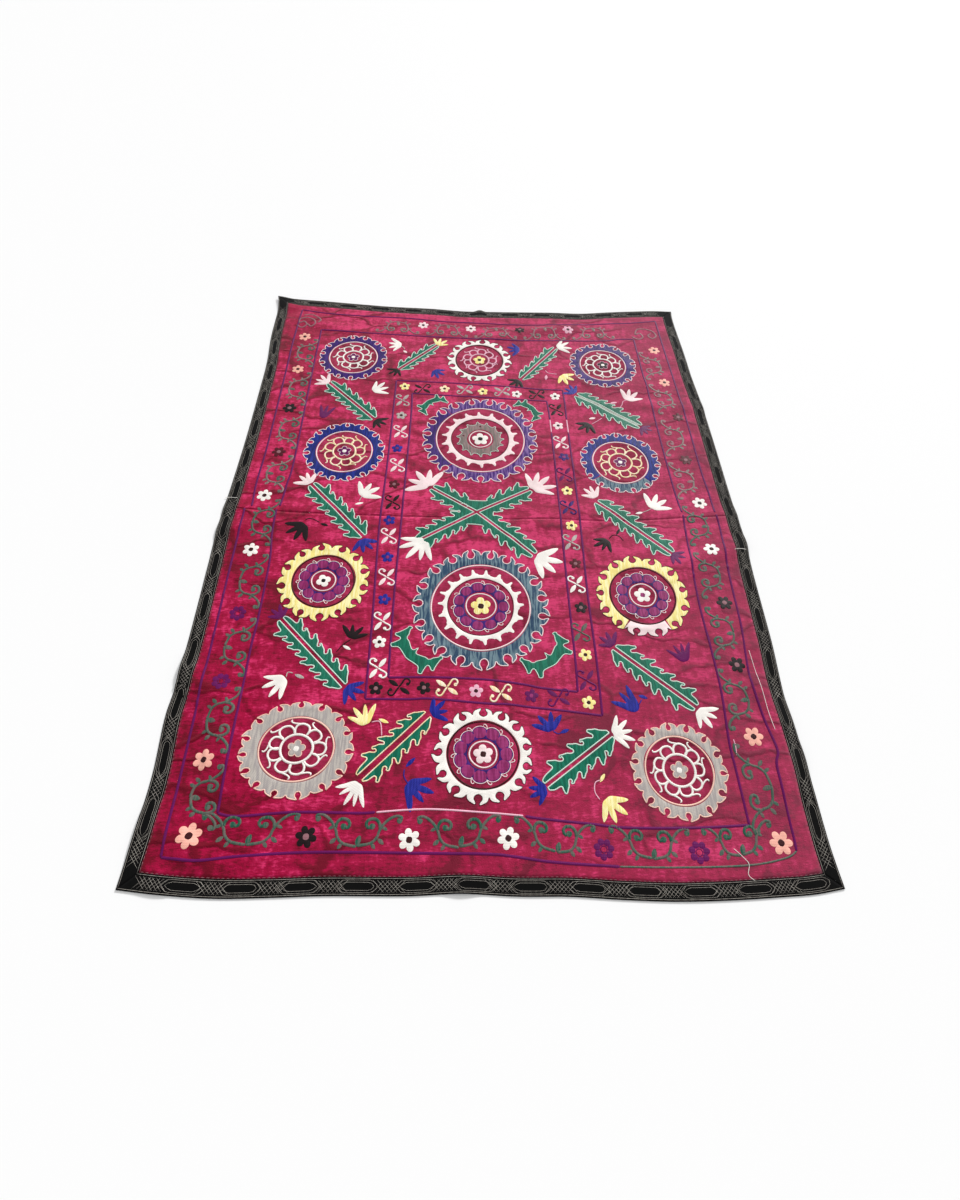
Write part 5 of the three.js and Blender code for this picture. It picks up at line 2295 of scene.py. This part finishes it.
# The inner frame's sides, with the turn of their crosses in degrees: crosses and flowers take turns,
# and the far and near sides start with a flower.
INNER_FRAME = (
    (0.0, ((T.YELLOW, (-276, 572)), (T.BLACK, (-212, 563)), (T.CREAM, (-133, 565)), (T.GREY, (-60, 565)),
        (T.YELLOW, (5, 557)), (T.GREY, (75, 560)), (T.WHITE, (127, 548)), (T.BLACK, (200, 550)),
        (T.WHITE, (266, 541)))),
    (0.0, ((T.BLACK, (-286, -593)), (T.BLACK, (-226, -588)), (T.BLACK, (-161, -590)),
        (T.CREAM, (-101, -588)), (T.PINK, (-25, -598)), (T.CREAM, (40, -603)), (T.PURPLE, (120, -610)),
        (T.PURPLE, (191, -614)), (T.YELLOW, (269, -628)))),
    (-90.0, ((T.GREY, (-280, 500)), (T.GREY, (-280, 423)), (T.PINK_WHITE, (-278, 345)),
        (T.BLUE, (-284, 265)), (T.PINK_WHITE, (-279, 190)), (T.MAROON, (-284, 107)), (T.BLACK, (-284, 32)),
        (T.BLUE, (-289, -39)), (T.PINK_WHITE, (-287, -99)), (T.BLUE, (-285, -177)),
        (T.PINK_WHITE, (-283, -247)), (T.BLUE, (-284, -323)), (T.WHITE, (-284, -393)),
        (T.WHITE, (-287, -458)), (T.WHITE, (-285, -535)))),
    (-90.0, ((T.BLACK, (265, 471)), (T.PINK_WHITE, (266, 392)), (T.PINK_WHITE, (269, 312)),
        (T.VIOLET, (274, 243)), (T.PURPLE, (270, 165)), (T.YELLOW, (273, 95)), (T.VIOLET, (270, 25)),
        (T.YELLOW, (274, -47)), (T.GREY, (268, -110)), (T.MAROON, (274, -189)), (T.WHITE, (270, -262)),
        (T.BLACK, (276, -341)), (T.VINE, (268, -420)), (T.YELLOW, (274, -490)), (T.PURPLE, (270, -565)))),
)  # fmt: skip

# Lines of chain stitch that frame the borders.
FRAME_LINES = {
    T.PURPLE: (
        ((-702, 1003), (-708, 800), (-710, 500), (-712, 250), (-718, 100), (-714, 4)),
        ((-734, -4), (-735, -200), (-733, -500), (-730, -800), (-728, -1000)),
        ((-728, -1000), (-650, -1007), (-560, -998), (-400, -990), (-180, -992), (0, -995), (60, -1000),
         (150, -1012), (300, -1022)),
        ((720, -990), (722, -950), (722, -800), (735, -750), (722, -650), (716, -550), (728, -400),
         (735, -200), (744, -50), (742, 8)),
        ((740, 16), (738, 100), (732, 200), (728, 450), (722, 600), (713, 800), (706, 1003)),
        ((-700, 1003), (-600, 985), (-450, 975), (-280, 970), (-150, 957), (0, 954), (150, 950),
         (300, 957), (400, 962), (500, 975), (600, 985), (706, 1003)),
        ((-613, 880), (-615, 600), (-615, 200), (-622, 100), (-629, 6)),
        ((-637, -6), (-636, -100), (-626, -200), (-625, -400), (-628, -500), (-625, -905)),
        ((-625, -905), (-580, -912), (-450, -903), (-300, -905), (-262, -903)),
        ((90, -912), (130, -918), (250, -930), (330, -938), (500, -938), (622, -932)),
        ((622, -932), (620, -800), (618, -720), (626, -580), (624, -400), (623, -300), (630, -100),
         (635, 4)),
        ((633, 14), (626, 100), (620, 250), (616, 400), (611, 600), (606, 700), (601, 882)),
        ((601, 884), (540, 880), (500, 870), (400, 863), (300, 860), (100, 852), (-100, 858),
         (-300, 865), (-613, 880)),
        ((-308, 603), (-312, 200), (-318, -50), (-316, -200), (-312, -400), (-311, -622)),
        ((-311, -622), (-200, -622), (-140, -620), (0, -632), (60, -634), (120, -642), (200, -650),
         (301, -663)),
        ((301, -663), (303, -500), (300, -300), (303, 0), (300, 250), (299, 358)),
        ((298, 424), (298, 500), (296, 576)),
        ((296, 576), (200, 578), (100, 588), (0, 592), (-100, 598), (-308, 603)),
        ((-248, 537), (-246, 400), (-252, 0), (-257, -300), (-256, -562)),
        ((-256, -562), (-140, -560), (0, -565), (100, -578), (150, -588), (243, -598)),
        ((243, -598), (245, -500), (243, -300), (242, 100), (240, 358)),
        ((239, 422), (237, 470), (234, 515)),
        ((234, 515), (100, 522), (0, 528), (-100, 530), (-248, 537)),
    ),
    T.VINE: (
        ((300, -1022), (440, -1024), (600, -1020), (690, -1005), (720, -990)),
    ),
    T.PINK: (
        ((-260, -903), (-140, -896), (0, -904), (85, -911)),
        ((299, 360), (298, 422)),
        ((240, 360), (239, 420)),
    ),
}  # fmt: skip

# How wide a frame line is, by its thread.
FRAME_LINE_WIDTHS = {T.PURPLE: 7.8}
OTHER_LINE_WIDTH = 5.4

# Sprigs in the corners of the inner field, each with its angle in degrees and its scale.
SPRIGS = (
    Sprig((-184, 492), 222, 0.76),
    Sprig((176, 475), 130, 0.76),
    Sprig((-200, -494), -46),
    Sprig((180, -506), 40),
)

# Scrolls in the far corners of the outer border.
CORNER_SCROLLS = tuple(Scroll(T.ROSE_GREY, path) for path in (
    ((-709, 905), (-690, 892), (-672, 908), (-684, 926), (-702, 918), (-700, 940), (-676, 952)),
    ((-676, 952), (-650, 940), (-640, 916), (-655, 898), (-668, 912)),
    ((-690, 965), (-664, 974), (-640, 962), (-622, 940), (-630, 920)),
    ((596, 900), (620, 884), (640, 900), (630, 922), (612, 914), (624, 946), (655, 950)),
    ((655, 950), (684, 936), (694, 908), (676, 892), (662, 908), (674, 922)),
))  # fmt: skip

# Loose threads that lie on the cloth.
LOOSE_THREADS = (
    Scroll(T.PINK_WHITE, ((733, -470), (737, -560), (738, -640), (744, -700)), 1.8, "loose"),
    Scroll(T.WHITE, ((-803, 38), (-782, 39), (-764, 38)), 1.8, "loose"),
    Scroll(T.WHITE, ((768, -130), (786, -127), (806, -129)), 1.8, "loose"),
    Scroll(T.WHITE, ((572, -984), (588, -1000), (600, -1018), (594, -1040), (606, -1052)), 1.6, "loose"),
    Scroll(T.WHITE, ((-90, 20), (-60, 34), (-48, 22), (-66, 12)), 1.2, "loose"),
)

# The radius of the inner frame's flowers.
INNER_FLOWER = 19

# The pitch of each side's cross-hatch, and where along the strip it starts.
HATCHES = {Side.NEAR: (127, 74), Side.LEFT: (140, 82), Side.RIGHT: (138, 78), Side.FAR: (130, 90)}


def dot_of(thread: Thread) -> Thread:
    """The thread at the middle of a small flower of a given thread."""
    if thread in (T.BLACK, T.MAROON):
        return T.ROSE_GREY
    return T.MAGENTA if thread in (T.BLUE, T.VIOLET, T.PURPLE) else T.BROWN


def border_flowers() -> list[SmallFlower]:
    """The flowers of the outer border."""
    rows = LEFT_BORDER + NEAR_BORDER + RIGHT_BORDER + FAR_BORDER
    return [SmallFlower(at, thread, size, dot_of(thread)) for at, thread, size in rows]


def inner_frame() -> list[SmallFlower | CrossMotif]:
    """The motifs between the two lines of the inner frame."""
    motifs: list[SmallFlower | CrossMotif] = []
    for turn, row in INNER_FRAME:
        for k, (thread, at) in enumerate(row):
            is_cross = (k % 2 == 1) == (turn == 0)
            flower = SmallFlower(at, thread, INNER_FLOWER, dot_of(thread), 5)
            motifs.append(CrossMotif(at, thread, turn) if is_cross else flower)
    return motifs


def border_vines() -> list[VineBorder]:
    """The winding stems of the outer border."""
    borders = LEFT_BORDER, NEAR_BORDER, RIGHT_BORDER, FAR_BORDER
    left, near, right, far = (tuple(row[0] for row in rows) for rows in borders)
    return [
        VineBorder(left[:5], (-1, 0), T.ASH, T.VINE),
        VineBorder(left[4:], (-1, 0), T.VINE, T.VINE, 56),
        VineBorder((left[-1], *near), (0, -1), T.VINE, T.MOSS),
        VineBorder(right[:5], (1, 0), T.ASH, T.ROSE_GREY, 66),
        VineBorder((*right[4:], near[-1]), (1, 0), T.VINE, T.VINE, 62),
        VineBorder(((-420, 938), *far, (540, 940)), (0, 1), T.ROSE_GREY, T.ASH, 58),
    ]


def work_embroidery(form: ClothForm) -> list[Piece]:
    """Work all the embroidery.

    Args:
        form: The cloth's shape.

    Returns:
        Its pieces.
    """
    basket = Workbasket(form)
    groups = {
        "roundels": ROUNDELS,
        "leaves": (*LEAVES, CrossedLeaves()),
        "tulips": (*(Tulip(*row) for row in TULIPS), *STEMS),
        "outer border": (*border_flowers(), *border_vines(), *CORNER_SCROLLS),
        "inner frame": inner_frame(),
        "frame lines": [
            Scroll(thread, path, FRAME_LINE_WIDTHS.get(thread, OTHER_LINE_WIDTH), "line")
            for thread, paths in FRAME_LINES.items()
            for path in paths
        ],
        "sprigs and loose threads": SPRIGS + LOOSE_THREADS,
    }
    for name, motifs in groups.items():
        for motif in motifs:
            motif.work(basket)
        log.info("worked the %s", name)
    JoinStitches(form).work(basket)
    for side, (pitch, start) in HATCHES.items():
        EdgingStitches(edging_strip(form, side), pitch, start, seed=40 + pitch).work(basket)
    return basket.finish()


def edging_strip(form: ClothForm, side: Side) -> EdgingStrip:
    """The edging strip of a side."""
    width, length = form.CUT_WIDTH * MILLIMETRE, form.CUT_LENGTH * MILLIMETRE
    band = form.EDGING_WIDTH * MILLIMETRE
    flat = (band, length) if side in (Side.LEFT, Side.RIGHT) else (width, band)
    return EdgingStrip(f"edging_strip_{side.value}", form, EdgingFinish(), "edging", flat, side=side)


def build_cloth(form: ClothForm, work: Sequence[Piece]) -> None:
    """Args:
        form: The cloth's shape.
        work: The pieces of the embroidery.
    """
    pressed = [(roundel.centre, roundel.line) for roundel in ROUNDELS]
    inset = 2 * (form.EDGING_WIDTH + form.PIECE_GAP)
    width = (form.CUT_WIDTH - inset) * MILLIMETRE
    seam = float(form.seam_along(form.CUT_WIDTH / 2))
    on_edging = [piece for piece in work if piece.name.startswith(Workbasket.EDGING)]
    on_velvet = [piece for piece in work if piece not in on_edging]
    for name, is_far in (("near", False), ("far", True)):
        length = (form.CUT_LENGTH - seam if is_far else seam) - inset / 2
        flat = (width, length * MILLIMETRE)
        panel = VelvetPanel(f"velvet_panel_{name}", form, VelvetFinish(), "velvet", flat, is_far, pressed)
        panel.declare(panel.build(), f"velvet_{name}", () if is_far else on_velvet)
    for side in Side:
        strip = edging_strip(form, side)
        strip.declare(strip.build(), f"edging_{side.value}", on_edging if side is Side.NEAR else ())


def note_size(key: str) -> None:
    """Write the part's bounds to a scratch file, beside the solids' own."""
    path = Path("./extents.json")
    sizes = json.loads(path.read_text()) if path.exists() else {}
    sizes[key] = [[float(value) for value in corner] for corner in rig.bounds()]
    path.write_text(json.dumps(sizes))


def main() -> None:
    """Build the scene."""
    logging.basicConfig(level=logging.INFO, format="%(name)s: %(message)s")
    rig.load()
    note_size("solids")
    form = ClothForm()
    Stage().build()
    work = work_embroidery(form)
    build_cloth(form, work)
    note_size("dressed")


if __name__ == "__main__":
    main()
